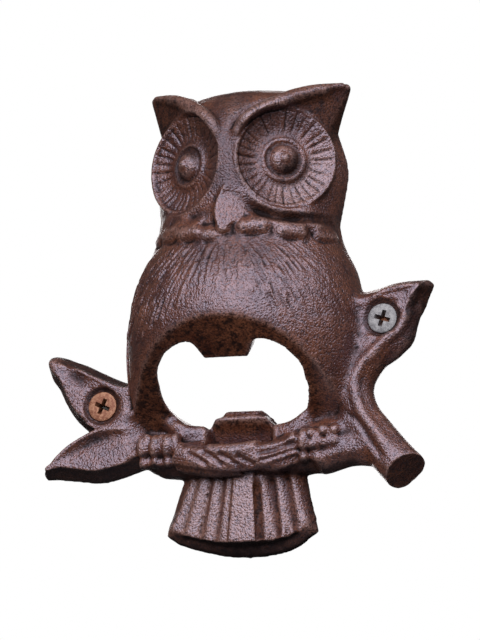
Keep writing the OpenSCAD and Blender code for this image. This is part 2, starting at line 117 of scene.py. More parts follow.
fading = (1.0, 0.0)


# a number carried over from one span to another, and held at the ends
def mapped(tree, value, span, result=(0.0, 1.0), smooth=False):
    ends = dict(zip(("Value", "From Min", "From Max", "To Min", "To Max"), (value, *span, *result)))
    kind = "SMOOTHSTEP" if smooth else "LINEAR"
    return addNode(tree, "ShaderNodeMapRange", ends, interpolation_type=kind).outputs[0]


# the first colour, and the second as the share grows
def blended(tree, share, first, second):
    return addNode(tree, "ShaderNodeMix", {"Factor": share, 6: first, 7: second}, data_type="RGBA").outputs[2]


def noise(tree, place, size, detail, rough):
    inputs = {"Vector": place, "Scale": 1 / size, "Detail": detail, "Roughness": rough}
    return addNode(tree, "ShaderNodeTexNoise", inputs).outputs["Fac"]


# a value that was stored on the mesh
def stored(tree, name):
    return addNode(tree, "ShaderNodeAttribute", attribute_name=name).outputs["Fac"]


# an empty node tree with named inputs for its sizes
def newTree(name, sizes):
    tree = bpy.data.node_groups.new(name, "GeometryNodeTree")
    tree.interface.new_socket("Geometry", in_out="INPUT", socket_type="NodeSocketGeometry")
    for key, kind in sizes.items():
        tree.interface.new_socket(key, in_out="INPUT", socket_type="NodeSocket" + kind)
    tree.interface.new_socket("Geometry", in_out="OUTPUT", socket_type="NodeSocketGeometry")
    return tree, addNode(tree, "NodeGroupInput").outputs


# the end of every tree: real geometry in its material
def endTree(tree, geometry, material):
    real = addNode(tree, "GeometryNodeRealizeInstances", {"Geometry": geometry})
    painted = addNode(tree, "GeometryNodeSetMaterial", {"Geometry": real.outputs[0], "Material": material})
    addNode(tree, "NodeGroupOutput", {"Geometry": painted.outputs[0]})
    return tree


# Meshes

def newObject(name, mesh):
    obj = bpy.data.objects.new(name, mesh)
    scene.collection.objects.link(obj)
    return obj


# mesh of an object with its modifiers applied
def finishedMesh(obj):
    bpy.context.view_layer.update()
    return bpy.data.meshes.new_from_object(obj.evaluated_get(bpy.context.evaluated_depsgraph_get()))


# runs a tree on a mesh and gives the result as a plain mesh
def runTree(tree, mesh, sizes):
    obj = newObject("work", mesh)
    modifier = obj.modifiers.new("tree", "NODES")
    modifier.node_group = tree
    for item in tree.interface.items_tree:
        if item.name in sizes:
            modifier[item.identifier] = sizes[item.name]
    result = finishedMesh(obj)
    obj.modifiers.remove(modifier)
    bpy.data.objects.remove(obj)
    return result


# a loose-triangle CAD node as one connected mesh
def mergedCopy(node):
    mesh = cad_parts[node].data.copy()
    work = bmesh.new()
    work.from_mesh(mesh)
    bmesh.ops.remove_doubles(work, verts=work.verts, dist=0.001 * mm)
    work.to_mesh(mesh)
    work.free()
    return mesh


def meshFrom(work, name):
    mesh = bpy.data.meshes.new(name)
    work.to_mesh(mesh)
    work.free()
    return mesh


def joined(meshes):
    work = bmesh.new()
    for mesh in meshes:
        work.from_mesh(mesh)
    return meshFrom(work, "joined")


# mesh data of one kind as an array
def readOut(items, key, width, kind):
    values = np.empty(len(items) * width, kind)
    items.foreach_get(key, values)
    return values.reshape(-1, width)


def storeOn(mesh, name, values):
    mesh.attributes.new(name, "FLOAT", "POINT").data.foreach_set("value", values.astype(np.float32))


# 0 on the first bound's side, 1 on the second's, eased between
def ramp(value, none, full):
    t = np.clip((value - none) / (full - none), 0, 1)
    return t * t * (3 - 2 * t)


# Materials

def newMaterial(name):
    material = bpy.data.materials.new(name)
    material.use_nodes = True
    material.node_tree.nodes.clear()
    return material, material.node_tree


def endMaterial(tree, inputs):
    shader = addNode(tree, "ShaderNodeBsdfPrincipled", inputs)
    addNode(tree, "ShaderNodeOutputMaterial", {"Surface": shader.outputs["BSDF"]})


ironLook = {
    # size, detail and roughness of the noise
    "grain": (0.58 * mm, 1.6, 0.5), "speck": (1.7 * mm, 3.0, 0.6), "blotch": (9 * mm, 5.0, 0.65),
    "relief": 0.24 * mm, "sandShare": -0.45,
    # the last colour below is worn paint and painted highlight on raised edges, and painted highlight on the
    # tail's front and the right eye's lower petals
    "paint": "#432011", "fadedPaint": "#6f442f", "bareEdgeAndHighlight": "#84665f",
    # of the colours below, the second is painted shade, the near black of hollows, creases, undersides and
    # shaded faces
    "pit": "#301a12", "paintedShade": "#160c08", "dirt": "#120906", "sheenTint": "#e4e0ff",
    "fading": (0.35, 0.65), "pitting": (0.32, 0.52), "specking": (0.37, 0.52),  # spans of the noise
    # from satin to dull: colour left in the specks, roughness and sheen
    "speckLeft": (0.7, 0.15), "rough": (0.34, 0.65), "sheen": (0.5, 0.06), "refraction": 2.0,
}


# sand-cast iron under a worn coat of brown paint: grainy, satin, with a cool sheen
# painted shade darkens it to near black in hollows, creases, undersides and shaded faces; worn paint and
# painted highlight lighten raised edges, and painted highlight lightens the tail's front and the right eye's
# lower petals
def paintedIron(look):
    material, tree = newMaterial("painted_cast_iron")
    place = addNode(tree, "ShaderNodeTexCoord").outputs["Object"]
    fine, coarse, broad = [noise(tree, place, *look[key]) for key in ("grain", "speck", "blotch")]
    matte = stored(tree, "matte")
    base = blended(tree, mapped(tree, broad, look["fading"]), tint(look["paint"]), tint(look["fadedPaint"]))
    # worn paint and painted highlight: lighter where the stored edge share is
    wearAndHighlight = blended(tree, stored(tree, "edge"), base, tint(look["bareEdgeAndHighlight"]))
    pitted = blended(tree, mapped(tree, fine, look["pitting"]), tint(look["pit"]), wearAndHighlight)
    # painted shade: near black where the stored hollow share is
    deep = blended(tree, stored(tree, "hollow"), pitted, tint(look["paintedShade"]))
    left = mapped(tree, matte, (0.0, 1.0), look["speckLeft"])
    specks = mapped(tree, coarse, look["specking"], (left, 1.0))
    sand = addNode(tree, "ShaderNodeTexVoronoi", {"Vector": place, "Scale": 1 / look["grain"][0]})
    skin = maths(tree, "MULTIPLY_ADD", sand.outputs["Distance"], look["sandShare"], fine)
    bump = addNode(tree, "ShaderNodeBump", {"Height": skin, "Strength": 1.0, "Distance": look["relief"]})
    endMaterial(tree, {
        "Base Color": blended(tree, specks, tint(look["dirt"]), deep), "IOR": look["refraction"],
        "Roughness": mapped(tree, matte, (0.0, 1.0), look["rough"]),
        "Specular IOR Level": mapped(tree, matte, (0.0, 1.0), look["sheen"]),
        "Specular Tint": tint(look["sheenTint"]), "Normal": bump.outputs["Normal"]})
    return material


steelLook = {"spot": (0.9 * mm, 6.0, 0.7), "spotting": (0.42, 0.62), "relief": 0.2 * mm, "reliefShare": 0.35,
             "rough": 0.45}


# steel screw head, flat and lightly scratched; rust gives the first one its copper tone
def screwSteel(name, faceTint, spotTint, recessTint, metal):
    material, tree = newMaterial(name)
    place = addNode(tree, "ShaderNodeTexCoord").outputs["Object"]
    mottle = noise(tree, place, *steelLook["spot"])
    face = blended(tree, mapped(tree, mottle, steelLook["spotting"]), tint(faceTint), tint(spotTint))
    bump = addNode(tree, "ShaderNodeBump", {
        "Height": mottle, "Strength": steelLook["reliefShare"], "Distance": steelLook["relief"]})
    endMaterial(tree, {
        # painted shade: the driver recess takes the darker recess colour, near black on the rusted screw and
        # dark brown on the zinc one
        "Base Color": blended(tree, stored(tree, "hollow"), face, tint(recessTint)), "Metallic": metal,
        "Roughness": steelLook["rough"], "Normal": bump.outputs["Normal"]})
    return material


ironPaint = paintedIron(ironLook)
rustedSteel = screwSteel("rusted_steel", "#6c3a25", "#9a7059", "#0d0806", 0.3)
zincSteel = screwSteel("zinc_plated_steel", "#5f6067", "#808288", "#5a2f14", 0.45)
print("materials made")

# Casting; its measures are in millimetres and degrees, except in the trees' sizes

owl = {
    "voxel": 0.34, "triangles": 192000,
    "eyeX": 14.6, "eyeY": -16.6, "eyeZ": 54.5, "eyeTurn": 30,
    "plateY": -12.6, "plateZ": -7.7, "plateLean": 43,
    "leftScrew": (-40.4, -10.5), "rightScrew": (40.4, 10.5),
    "plumpRounds": 10, "softRounds": 14, "formedRounds": 2, "drawnRounds": 1,  # smoothing, stage by stage
}


# points and edges of a mesh, in millimetres, ready for modelling
def openSkin(mesh):
    edges = readOut(mesh.edges, "vertices", 2, np.int32)
    points = readOut(mesh.vertices, "co", 3, np.float32).astype(float) / mm
    degree = np.bincount(edges.ravel(), minlength=len(points))
    return {"mesh": mesh, "points": points, "a": edges[:, 0], "b": edges[:, 1], "degree": degree}


def closeSkin(skin):
    skin["mesh"].vertices.foreach_set("co", (skin["points"] * mm).astype(np.float32).ravel())
    skin["mesh"].update()


def normalsOf(skin):
    closeSkin(skin)
    return readOut(skin["mesh"].vertices, "normal", 3, np.float32).astype(float)


# mean of each point's neighbours
def neighbourMean(skin, values):
    a, b, count = skin["a"], skin["b"], len(values)
    sums = [np.bincount(a, row[b], count) + np.bincount(b, row[a], count) for row in values.T]
    return np.stack(sums, 1) / skin["degree"][:, None]


# smooths where the weight is, with or without keeping the bulk
def relax(skin, weight, rounds, keepBulk=False):
    inward, outward = 0.6, -0.63
    points = skin["points"]
    near = np.flatnonzero(weight > 0.001)
    slot = np.full(len(points), -1)
    slot[near] = np.arange(len(near))
    ends, others = np.concatenate([skin["a"], skin["b"]]), np.concatenate([skin["b"], skin["a"]])
    used = slot[ends] >= 0
    ends, others = slot[ends[used]], others[used]
    pick, degree = weight[near][:, None], skin["degree"][near][:, None]
    for step in ([inward, outward] if keepBulk else [inward]) * rounds:
        sums = np.stack([np.bincount(ends, column[others], len(near)) for column in points.T], 1)
        points[near] += step * pick * (sums / degree - points[near])


plateLean = math.radians(90 + owl["plateLean"])
plateUp = np.array([0, math.cos(plateLean), math.sin(plateLean)])
plateOut = np.array([0, -math.sin(plateLean), math.cos(plateLean)])

# the tail's lower edge is a bow, and its right side leans
tailForm = {"bow": 0.015, "footZ": -50.2, "sideZ": [-43.4, -30.2], "sideX": [19.6, 16.8],
            "shift": 2.2, "shifted": [("side", 20, 10), ("z", -29, -32)]}


# distance from an (x, z) place, seen from the front
def frontGap(points, spot):
    return np.hypot(points[:, 0] - spot[0], points[:, 2] - spot[1])


# what regions are measured along: sides are distances from the middle, rings from a screw's axis
def measures(points, normals=None):
    x, y, z = points.T
    away = points - np.array([0, owl["plateY"], owl["plateZ"]])
    up, out = away @ plateUp, away @ plateOut
    left, right = frontGap(points, owl["leftScrew"]), frontGap(points, owl["rightScrew"])
    along = {"x": x, "side": np.abs(x), "y": y, "z": z,
             "plateUp": up, "plateTall": np.abs(up), "plateOut": out, "plateOff": np.abs(out),
             "leftRing": left, "rightRing": right, "ring": np.minimum(left, right),
             "tailFoot": z - (tailForm["bow"] * x ** 2 + tailForm["footZ"]),
             "tailSide": x - np.interp(z, tailForm["sideZ"], tailForm["sideX"])}
    if normals is not None:
        right, back, up = normals.T
        along |= {"facesRight": right, "facesAside": np.abs(right), "facesOut": -back, "facesUp": up,
                  "facesPlate": normals @ plateOut}
    return along


# 1 in a region and 0 outside; each row names a measure, where it is still outside and where it is well inside
def inside(along, region):
    return np.prod([ramp(along[name], none, full) for name, none, full in region], axis=0)


# a path over the front of the casting, eased through (x, z) places
def frontPath(bvh, places):
    step, before = 0.35, -60
    knots = [np.array(p, float) for p in places]
    knots = [2 * knots[0] - knots[1]] + knots + [2 * knots[-1] - knots[-2]]
    path = []
    for p0, p1, p2, p3 in zip(knots, knots[1:], knots[2:], knots[3:]):
        count = max(2, int(np.linalg.norm(p2 - p1) / step))
        for t in np.arange(count) / count:
            path.append(0.5 * (2 * p1 + (p2 - p0) * t + (2 * p0 - 5 * p1 + 4 * p2 - p3) * t * t
                               + (3 * p1 - p0 - 3 * p2 + p3) * t ** 3))
    path.append(knots[-2])
    hits = [bvh.ray_cast(Vector((x, before, z)), Vector((0, 1, 0)))[0] for x, z in path]
    return np.array([h for h in hits if h is not None])


# raises (or sinks) a line over the casting; it fades at both ends
def stroke(skin, bvh, normals, places, halfWidth, height, sharp=False, fade=0.12):
    path = frontPath(bvh, places)
    points = skin["points"]
    low, high = path.min(0) - halfWidth, path.max(0) + halfWidth
    near = np.flatnonzero(np.all((points > low) & (points < high), axis=1))
    if len(near) == 0:
        return
    part = points[near]
    gaps = (part ** 2).sum(1)[:, None] + (path ** 2).sum(1)[None] - 2 * part @ path.T
    nearest = gaps.argmin(1)
    share = np.sqrt(np.maximum(gaps[np.arange(len(near)), nearest], 0)) / halfWidth
    along = nearest / (len(path) - 1)
    rise = np.clip(1 - share, 0, 1) if sharp else np.clip(1 - share ** 2, 0, 1) ** 2
    rise *= ramp(along, -0.01, fade) * ramp(1 - along, -0.01, fade)
    points[near] += normals[near] * (height * rise)[:, None]


# moves a surface along its normals and ends the tree
def pushOut(tree, geometry, lift):
    offset = scaled(tree, normal(tree), lift)
    moved = addNode(tree, "GeometryNodeSetPosition", {"Geometry": geometry, "Offset": offset})
    return endTree(tree, moved.outputs[0], ironPaint)


barbs = {
    "Columns": 34, "Rows": 10, "Spread": math.radians(150), "Low": 8 * mm, "High": 32 * mm,
    "Length": 3.2 * mm, "Width": 0.75 * mm,
    "runs": [(4, 0.3 * mm), (9, -0.26 * mm)],  # seed and lift of the raised and of the sunk barbs
    "shakeAcross": 0.02, "shakeUp": 0.06, "shortest": 0.4, "longest": 1.4,
    "castFrom": 80 * mm, "castLength": 100 * mm, "fanFrom": (0, -20 * mm, 42 * mm), "clearOfPlate": -4 * mm,
    # where they come up: away from the middle and up the breast, less under the ruff and on the right flank
    "aside": (5 * mm, 14 * mm), "upper": (14 * mm, 24 * mm), "upperShare": 0.95,
    "ruff": (28 * mm, 30.5 * mm), "flank": (17 * mm, 25 * mm), "flankShare": 0.25,
}


# short barbs that fan out over the breast from below the beak, raised or sunk into the iron
def breastBarbs():
    tree, given = newTree("breastBarbs", {
        "Columns": "Int", "Rows": "Int", "Spread": "Float", "Low": "Float", "High": "Float",
        "Length": "Float", "Width": "Float", "Lift": "Float", "Seed": "Int"})
    grid = addNode(tree, "GeometryNodeMeshGrid", {
        "Vertices X": given["Columns"], "Vertices Y": given["Rows"]})
    here = position(tree)
    at = axes(tree, here)
    shake = addNode(tree, "FunctionNodeRandomValue", {0: (-1, -1, -1), 1: (1, 1, 1), "Seed": given["Seed"]},
                    data_type="FLOAT_VECTOR")
    shakeBy = axes(tree, shake.outputs[0])
    loose = maths(tree, "MULTIPLY_ADD", shakeBy["X"], barbs["shakeAcross"], at["X"])
    angle = maths(tree, "MULTIPLY", loose, given["Spread"])
    rise = maths(tree, "MULTIPLY_ADD", shakeBy["Y"], barbs["shakeUp"], at["Y"])
    height = mapped(tree, rise, (-0.5, 0.5), (given["Low"], given["High"]))
    back = maths(tree, "MULTIPLY", maths(tree, "COSINE", angle), -1.0)
    outward = fromAxes(tree, X=maths(tree, "SINE", angle), Y=back)
    start = vectors(tree, "ADD", scaled(tree, outward, barbs["castFrom"]), fromAxes(tree, Z=height))
    hit = addNode(tree, "GeometryNodeRaycast", {
        "Target Geometry": given["Geometry"], "Source Position": start,
        "Ray Direction": scaled(tree, outward, -1.0), "Ray Length": barbs["castLength"]})
    seated = addNode(tree, "GeometryNodeSetPosition", {
        "Geometry": grid.outputs["Mesh"], "Position": hit.outputs["Hit Position"]})
    fromPlate = vectors(tree, "SUBTRACT", here, (0, owl["plateY"] * mm, owl["plateZ"] * mm))
    outOfPlate = vectors(tree, "DOT_PRODUCT", fromPlate, tuple(plateOut), gives="Value")
    onBreast = addNode(tree, "FunctionNodeCompare", {0: outOfPlate, 1: barbs["clearOfPlate"]},
                       operation="LESS_THAN")
    facing = addNode(tree, "GeometryNodeSampleNearestSurface", {
        "Mesh": given["Geometry"], "Value": normal(tree), "Sample Position": here}, data_type="FLOAT_VECTOR")
    fan = vectors(tree, "SUBTRACT", here, barbs["fanFrom"])
    align = "FunctionNodeAlignRotationToVector"
    upright = addNode(tree, align, {"Vector": facing.outputs["Value"]}, axis="Z")
    fanned = addNode(tree, align, {"Rotation": upright.outputs[0], "Vector": fan}, axis="X", pivot_axis="Z")
    vary = addNode(tree, "FunctionNodeRandomValue", {
        2: barbs["shortest"], 3: barbs["longest"], "Seed": given["Seed"]}, data_type="FLOAT")
    length = maths(tree, "MULTIPLY", vary.outputs[1], given["Length"])
    barb = addNode(tree, "GeometryNodeMeshLine", {
        "Count": 2, "Start Location": (-1, 0, 0), "Offset": (2, 0, 0)})
    placed = addNode(tree, "GeometryNodeInstanceOnPoints", {
        "Points": seated.outputs[0], "Selection": onBreast.outputs[0], "Instance": barb.outputs["Mesh"],
        "Rotation": fanned.outputs[0], "Scale": fromAxes(tree, X=length, Y=1.0, Z=1.0)})
    drawn = addNode(tree, "GeometryNodeRealizeInstances", {"Geometry": placed.outputs[0]})
    gap = addNode(tree, "GeometryNodeProximity", {"Geometry": drawn.outputs[0]}, target_element="EDGES")
    slope = mapped(tree, gap.outputs["Distance"], (0.0, given["Width"]), fading, smooth=True)
    wide = mapped(tree, maths(tree, "ABSOLUTE", at["X"]), barbs["aside"])
    tall = mapped(tree, at["Z"], barbs["upper"], (0.0, barbs["upperShare"]))
    lift = product(tree, slope, given["Lift"], maths(tree, "MAXIMUM", wide, tall),
                   mapped(tree, at["Z"], barbs["ruff"], fading),
                   mapped(tree, at["X"], barbs["flank"], (1.0, barbs["flankShare"])))
    return pushOut(tree, given["Geometry"], lift)


toes = {
    # x, y, z of the left toes, the right toes' knuckles and the claws, and their half sizes
    "bars": [
        ([(-25.9, -7.4, -22.2), (-21.5, -8.0, -22.6), (-17.4, -8.4, -22.6)], (1.4, 2.7, 3.6)),
        ([(21.8, -8.6, -21.2), (22.2, -8.4, -24.2), (25.2, -8.3, -20.4), (25.5, -8.1, -23.8),
          (28.2, -7.9, -20.4), (28.5, -7.7, -23.4)], (1.65, 2.7, 1.7)),
        ([(-25.4, -6.6, -27.0), (-21.5, -7.0, -27.4), (-17.6, -7.4, -27.4), (22.0, -7.0, -27.0),
          (25.4, -6.8, -26.6), (28.6, -6.2, -26.0)], (1.2, 1.9, 1.8)),
    ],
    "level": 3, "crease": 0.2,
}


# one rounded bar on each given place
def toeBars(places, halfSize):
    tree, given = newTree("toeBars", {"Half Size": "Vector"})
    cube = addNode(tree, "GeometryNodeMeshCube", {"Size": (2, 2, 2)})
    bar = addNode(tree, "GeometryNodeSubdivisionSurface", {
        "Mesh": cube.outputs["Mesh"], "Level": toes["level"], "Edge Crease": toes["crease"]})
    placed = addNode(tree, "GeometryNodeInstanceOnPoints", {
        "Points": given["Geometry"], "Instance": bar.outputs["Mesh"], "Scale": given["Half Size"]})
    endTree(tree, placed.outputs[0], ironPaint)
    spots = bpy.data.meshes.new("spots")
    spots.from_pydata([[c * mm for c in p] for p in places], [], [])
    return runTree(tree, spots, {"Half Size": [c * mm for c in halfSize]})


tubes = {
    # x, y, z and radius along the strands on the perch, the right leaf's lower lobe and the mouth's two sills
    "paths": [
        [(-16.5, -8.6, -25.4, 2.9), (-8, -9.9, -27.0, 3.3), (0, -10.3, -27.6, 3.3), (8, -9.9, -26.6, 3.0),
         (18, -8.2, -23.8, 2.2)],
        [(50.0, -2.4, 16.4, 0.8), (48.4, -3.0, 12.4, 2.2), (46.9, -3.4, 9.0, 2.9), (45.9, -3.6, 5.2, 3.2),
         (42.6, -3.6, 1.8, 2.9), (38.6, -3.6, -1.6, 1.8), (36.4, -3.2, -4.0, 0.8)],
        [(-23.4, -5.6, -14.6, 1.2), (-18.8, -5.4, -17.5, 2.1), (-14.1, -5.0, -18.9, 2.3),
         (-9.6, -4.8, -18.2, 2.0), (-8.2, -4.4, -17.0, 1.2)],
        [(7.8, -4.4, -17.2, 1.2), (10.4, -4.8, -18.7, 2.1), (13.4, -5.0, -19.0, 2.2),
         (17.4, -5.2, -17.3, 2.1), (20.8, -5.8, -13.8, 1.2)],
    ],
    "Sides": 16, "steps": 25,
}


def roundTube(path):
    tree, given = newTree("roundTube", {"Sides": "Int"})
    wire = addNode(tree, "GeometryNodeMeshToCurve", {"Mesh": given["Geometry"]})
    thick = addNode(tree, "GeometryNodeInputNamedAttribute", {"Name": "thick"}, data_type="FLOAT")
    ring = addNode(tree, "GeometryNodeCurvePrimitiveCircle", {"Resolution": given["Sides"], "Radius": 1.0})
    tube = addNode(tree, "GeometryNodeCurveToMesh", {
        "Curve": wire.outputs[0], "Profile Curve": ring.outputs[0], "Scale": thick.outputs[0],
        "Fill Caps": True})
    endTree(tree, tube.outputs[0], ironPaint)
    knots = np.array(path)
    t = np.linspace(0, len(knots) - 1, tubes["steps"])
    rows = np.stack([np.interp(t, np.arange(len(knots)), column) for column in knots.T], 1) * mm
    wireMesh = bpy.data.meshes.new("wire")
    wireMesh.from_pydata(rows[:, :3].tolist(), [(k, k + 1) for k in range(len(rows) - 1)], [])
    storeOn(wireMesh, "thick", rows[:, 3])
    return runTree(tree, wireMesh, tubes)


eyes = {
    # radius and height of the dish from the pupil's nub out past the rim
    "profile": [(0, 1.6), (0.8, 1.45), (1.4, 0.9), (2.6, 0.3), (3.6, -0.8), (4.2, -1.6), (4.9, -1.6),
                (5.5, -1.25), (6.0, -1.3), (6.8, -1.8), (8.2, -1.85), (12.3, -0.6), (13.5, -0.2),
                (14.0, -0.2), (14.5, -0.4), (15, -0.4)],
    "lowest": -3.0, "span": 5.0,
    "Flutes": 31.0, "Depth": 0.5 * mm, "Groove": 0.36 * mm, "Rim": 0.8 * mm,
    "rimFrom": math.radians(215), "rimFade": (-0.5, 0.5),  # the rim is worn off on the side away from this
    "crest": (12.7 * mm, 13.3 * mm), "fluteStart": (7.2 * mm, 9 * mm), "fluteEnd": (13 * mm, 14 * mm),
    "wobble": 2.2, "uneven": 3.1, "unevenSpan": (0.35, 0.65), "unevenDepth": (0.35, 1.25),
    "edge": (13.8 * mm, 14.5 * mm), "farthest": (3.4 * mm, 4.2 * mm), "facing": 0.3,  # what the dish takes in
}


# forms one eye: rim, fluted dish, ring and cone-shaped pupil
def eyeDish():
    tree, given = newTree("eyeDish", {
        "Centre": "Vector", "Turn": "Float", "Flutes": "Float", "Depth": "Float", "Groove": "Float",
        "Rim": "Float"})
    reach, lowest, span = eyes["profile"][-1][0], eyes["lowest"], eyes["span"]
    back = maths(tree, "MULTIPLY", given["Turn"], -1.0)
    local = turned(tree, vectors(tree, "SUBTRACT", position(tree), given["Centre"]), back)
    at = axes(tree, local)
    radius = vectors(tree, "LENGTH", fromAxes(tree, X=at["X"], Z=at["Z"]), gives="Value")
    angle = maths(tree, "ARCTAN2", at["Z"], at["X"])
    curve = addNode(tree, "ShaderNodeFloatCurve", {"Value": maths(tree, "DIVIDE", radius, reach * mm)})
    points = curve.mapping.curves[0].points
    spots = [(r / reach, (h - lowest) / span) for r, h in eyes["profile"]]
    points[0].location, points[1].location = spots[0], spots[-1]
    for spot in spots[1:-1]:
        points.new(*spot)
    curve.mapping.update()
    dish = maths(tree, "MULTIPLY_ADD", curve.outputs[0], span * mm, lowest * mm)
    side = maths(tree, "COSINE", maths(tree, "SUBTRACT", angle, eyes["rimFrom"]))
    rim = product(tree, mapped(tree, side, eyes["rimFade"]), mapped(tree, radius, eyes["crest"], smooth=True))
    form = maths(tree, "MULTIPLY_ADD", rim, given["Rim"], dish)
    wobble, uneven = [
        addNode(tree, "ShaderNodeTexNoise", {"W": angle, "Scale": eyes[key], "Detail": 1.0},
                noise_dimensions="1D").outputs[0] for key in ("wobble", "uneven")]
    turns = maths(tree, "MULTIPLY", angle, 1 / (2 * math.pi))
    phase = maths(tree, "MULTIPLY_ADD", turns, given["Flutes"], wobble)
    petal = maths(tree, "PINGPONG", phase, 0.5)
    arc = maths(tree, "DIVIDE", product(tree, petal, radius, 2 * math.pi), given["Flutes"])
    cut = product(tree, mapped(tree, arc, (0.0, given["Groove"]), fading), given["Depth"],
                  mapped(tree, radius, eyes["fluteStart"]),
                  mapped(tree, uneven, eyes["unevenSpan"], eyes["unevenDepth"]),
                  mapped(tree, radius, eyes["fluteEnd"], fading))
    formed = fromAxes(tree, X=at["X"], Y=maths(tree, "SUBTRACT", cut, form), Z=at["Z"])
    shift = vectors(tree, "SUBTRACT", formed, local)
    far = vectors(tree, "LENGTH", shift, gives="Value")
    amount = product(tree, mapped(tree, far, eyes["farthest"], fading),
                     mapped(tree, radius, eyes["edge"], fading))
    facing = axes(tree, turned(tree, normal(tree), back))["Y"]
    front = addNode(tree, "FunctionNodeCompare", {0: facing, 1: eyes["facing"]}, operation="LESS_THAN")
    moved = addNode(tree, "GeometryNodeSetPosition", {
        "Geometry": given["Geometry"], "Selection": front.outputs[0],
        "Offset": turned(tree, scaled(tree, shift, amount), given["Turn"])})
    return endTree(tree, moved.outputs[0], ironPaint)


castSkin = {"Swell": 0.3 * mm, "Swell Size": 7 * mm, "Grain": 0.16 * mm, "Grain Size": 1.1 * mm}


# the uneven skin that a sand mould leaves
def sandSkin(mesh):
    tree, given = newTree("sandSkin", {key: "Float" for key in castSkin})
    lifts = []
    for key in ("Swell", "Grain"):
        scale = maths(tree, "DIVIDE", 1.0, given[key + " Size"])
        lumps = addNode(tree, "ShaderNodeTexNoise", {"Scale": scale, "Detail": 2.0})
        level = maths(tree, "SUBTRACT", lumps.outputs[0], 0.5)
        lifts.append(maths(tree, "MULTIPLY", level, given[key]))
    pushOut(tree, given["Geometry"], maths(tree, "ADD", *lifts))
    return runTree(tree, mesh, castSkin)


# how firmly a region keeps its edges, and where it is
crisp = [
    (0.9, [("z", -30.5, -32.5), ("side", 26, 24)]),  # tail
    (0.85, [("x", -32, -35)]),  # left leaves
    (0.8, [("x", 39, 42), ("z", 9, 12)]),  # right leaf
    (0.8, [("z", 70, 74)]),  # ear tips
    (0.95, [("side", 14, 16), ("side", 32, 30), ("z", -17, -19), ("z", -30, -28), ("y", -5.5, -7)]),  # toes
    (0.8, [("side", 19, 17), ("z", -22, -24), ("y", -8, -9.5)]),  # strands on the perch
    (0.92, [("plateOff", 3, 1.2), ("side", 36, 34), ("plateUp", -14, -12)]),  # lip of the mouth
]
leafSoft, leafFront = 0.6, [("x", -33, -35), ("y", -7.0, -7.3)]  # smoothed at least this much
mouthFirm, inMouth = 0.9, [("side", 24, 22), ("plateTall", 17, 14.8), ("plateOff", 6, 4)]


# 1 where the casting is a plain swelling form, less where it has edges to keep
def softness(points):
    along = measures(points)
    soft = np.ones(len(points))
    for firm, region in crisp:
        soft *= 1 - firm * inside(along, region)
    soft = np.maximum(soft, leafSoft * inside(along, leafFront))
    return soft * (1 - mouthFirm * inside(along, inMouth))


leaves = {
    "faceY": -7.4, "left": [("x", -31, -33)], "right": [("x", 38, 40), ("z", 8, 11)],
    "front": [("y", -5.4, -5.9), ("leftRing", 5.9, 6.6), ("rightRing", 5.9, 6.6)],
    "stem": [("x", 33, 36), ("z", -16, -12), ("z", 15, 12)],
    "stemZ": [-16, -9, 1, 7], "stemY": [-12, -9.4, -8.1, -7.4],  # the branch's front by height
    "last": [("x", -33, -36), ("leftRing", 6, 7)], "lastRounds": 4,
    "tip": (-56.2, 1.2), "tipReach": (6, 1.5), "tipSwell": 0.9,
}


# plain faces for the leaves, and a branch that sinks into the right one
def levelLeaves(skin):
    points = skin["points"]
    along = measures(points)
    either = np.maximum(inside(along, leaves["left"]), inside(along, leaves["right"]))
    points[:, 1] += either * inside(along, leaves["front"]) * (leaves["faceY"] - points[:, 1])
    front = np.interp(points[:, 2], leaves["stemZ"], leaves["stemY"])
    sunk = np.maximum(points[:, 1], front) - points[:, 1]
    points[:, 1] += inside(along, leaves["stem"]) * sunk


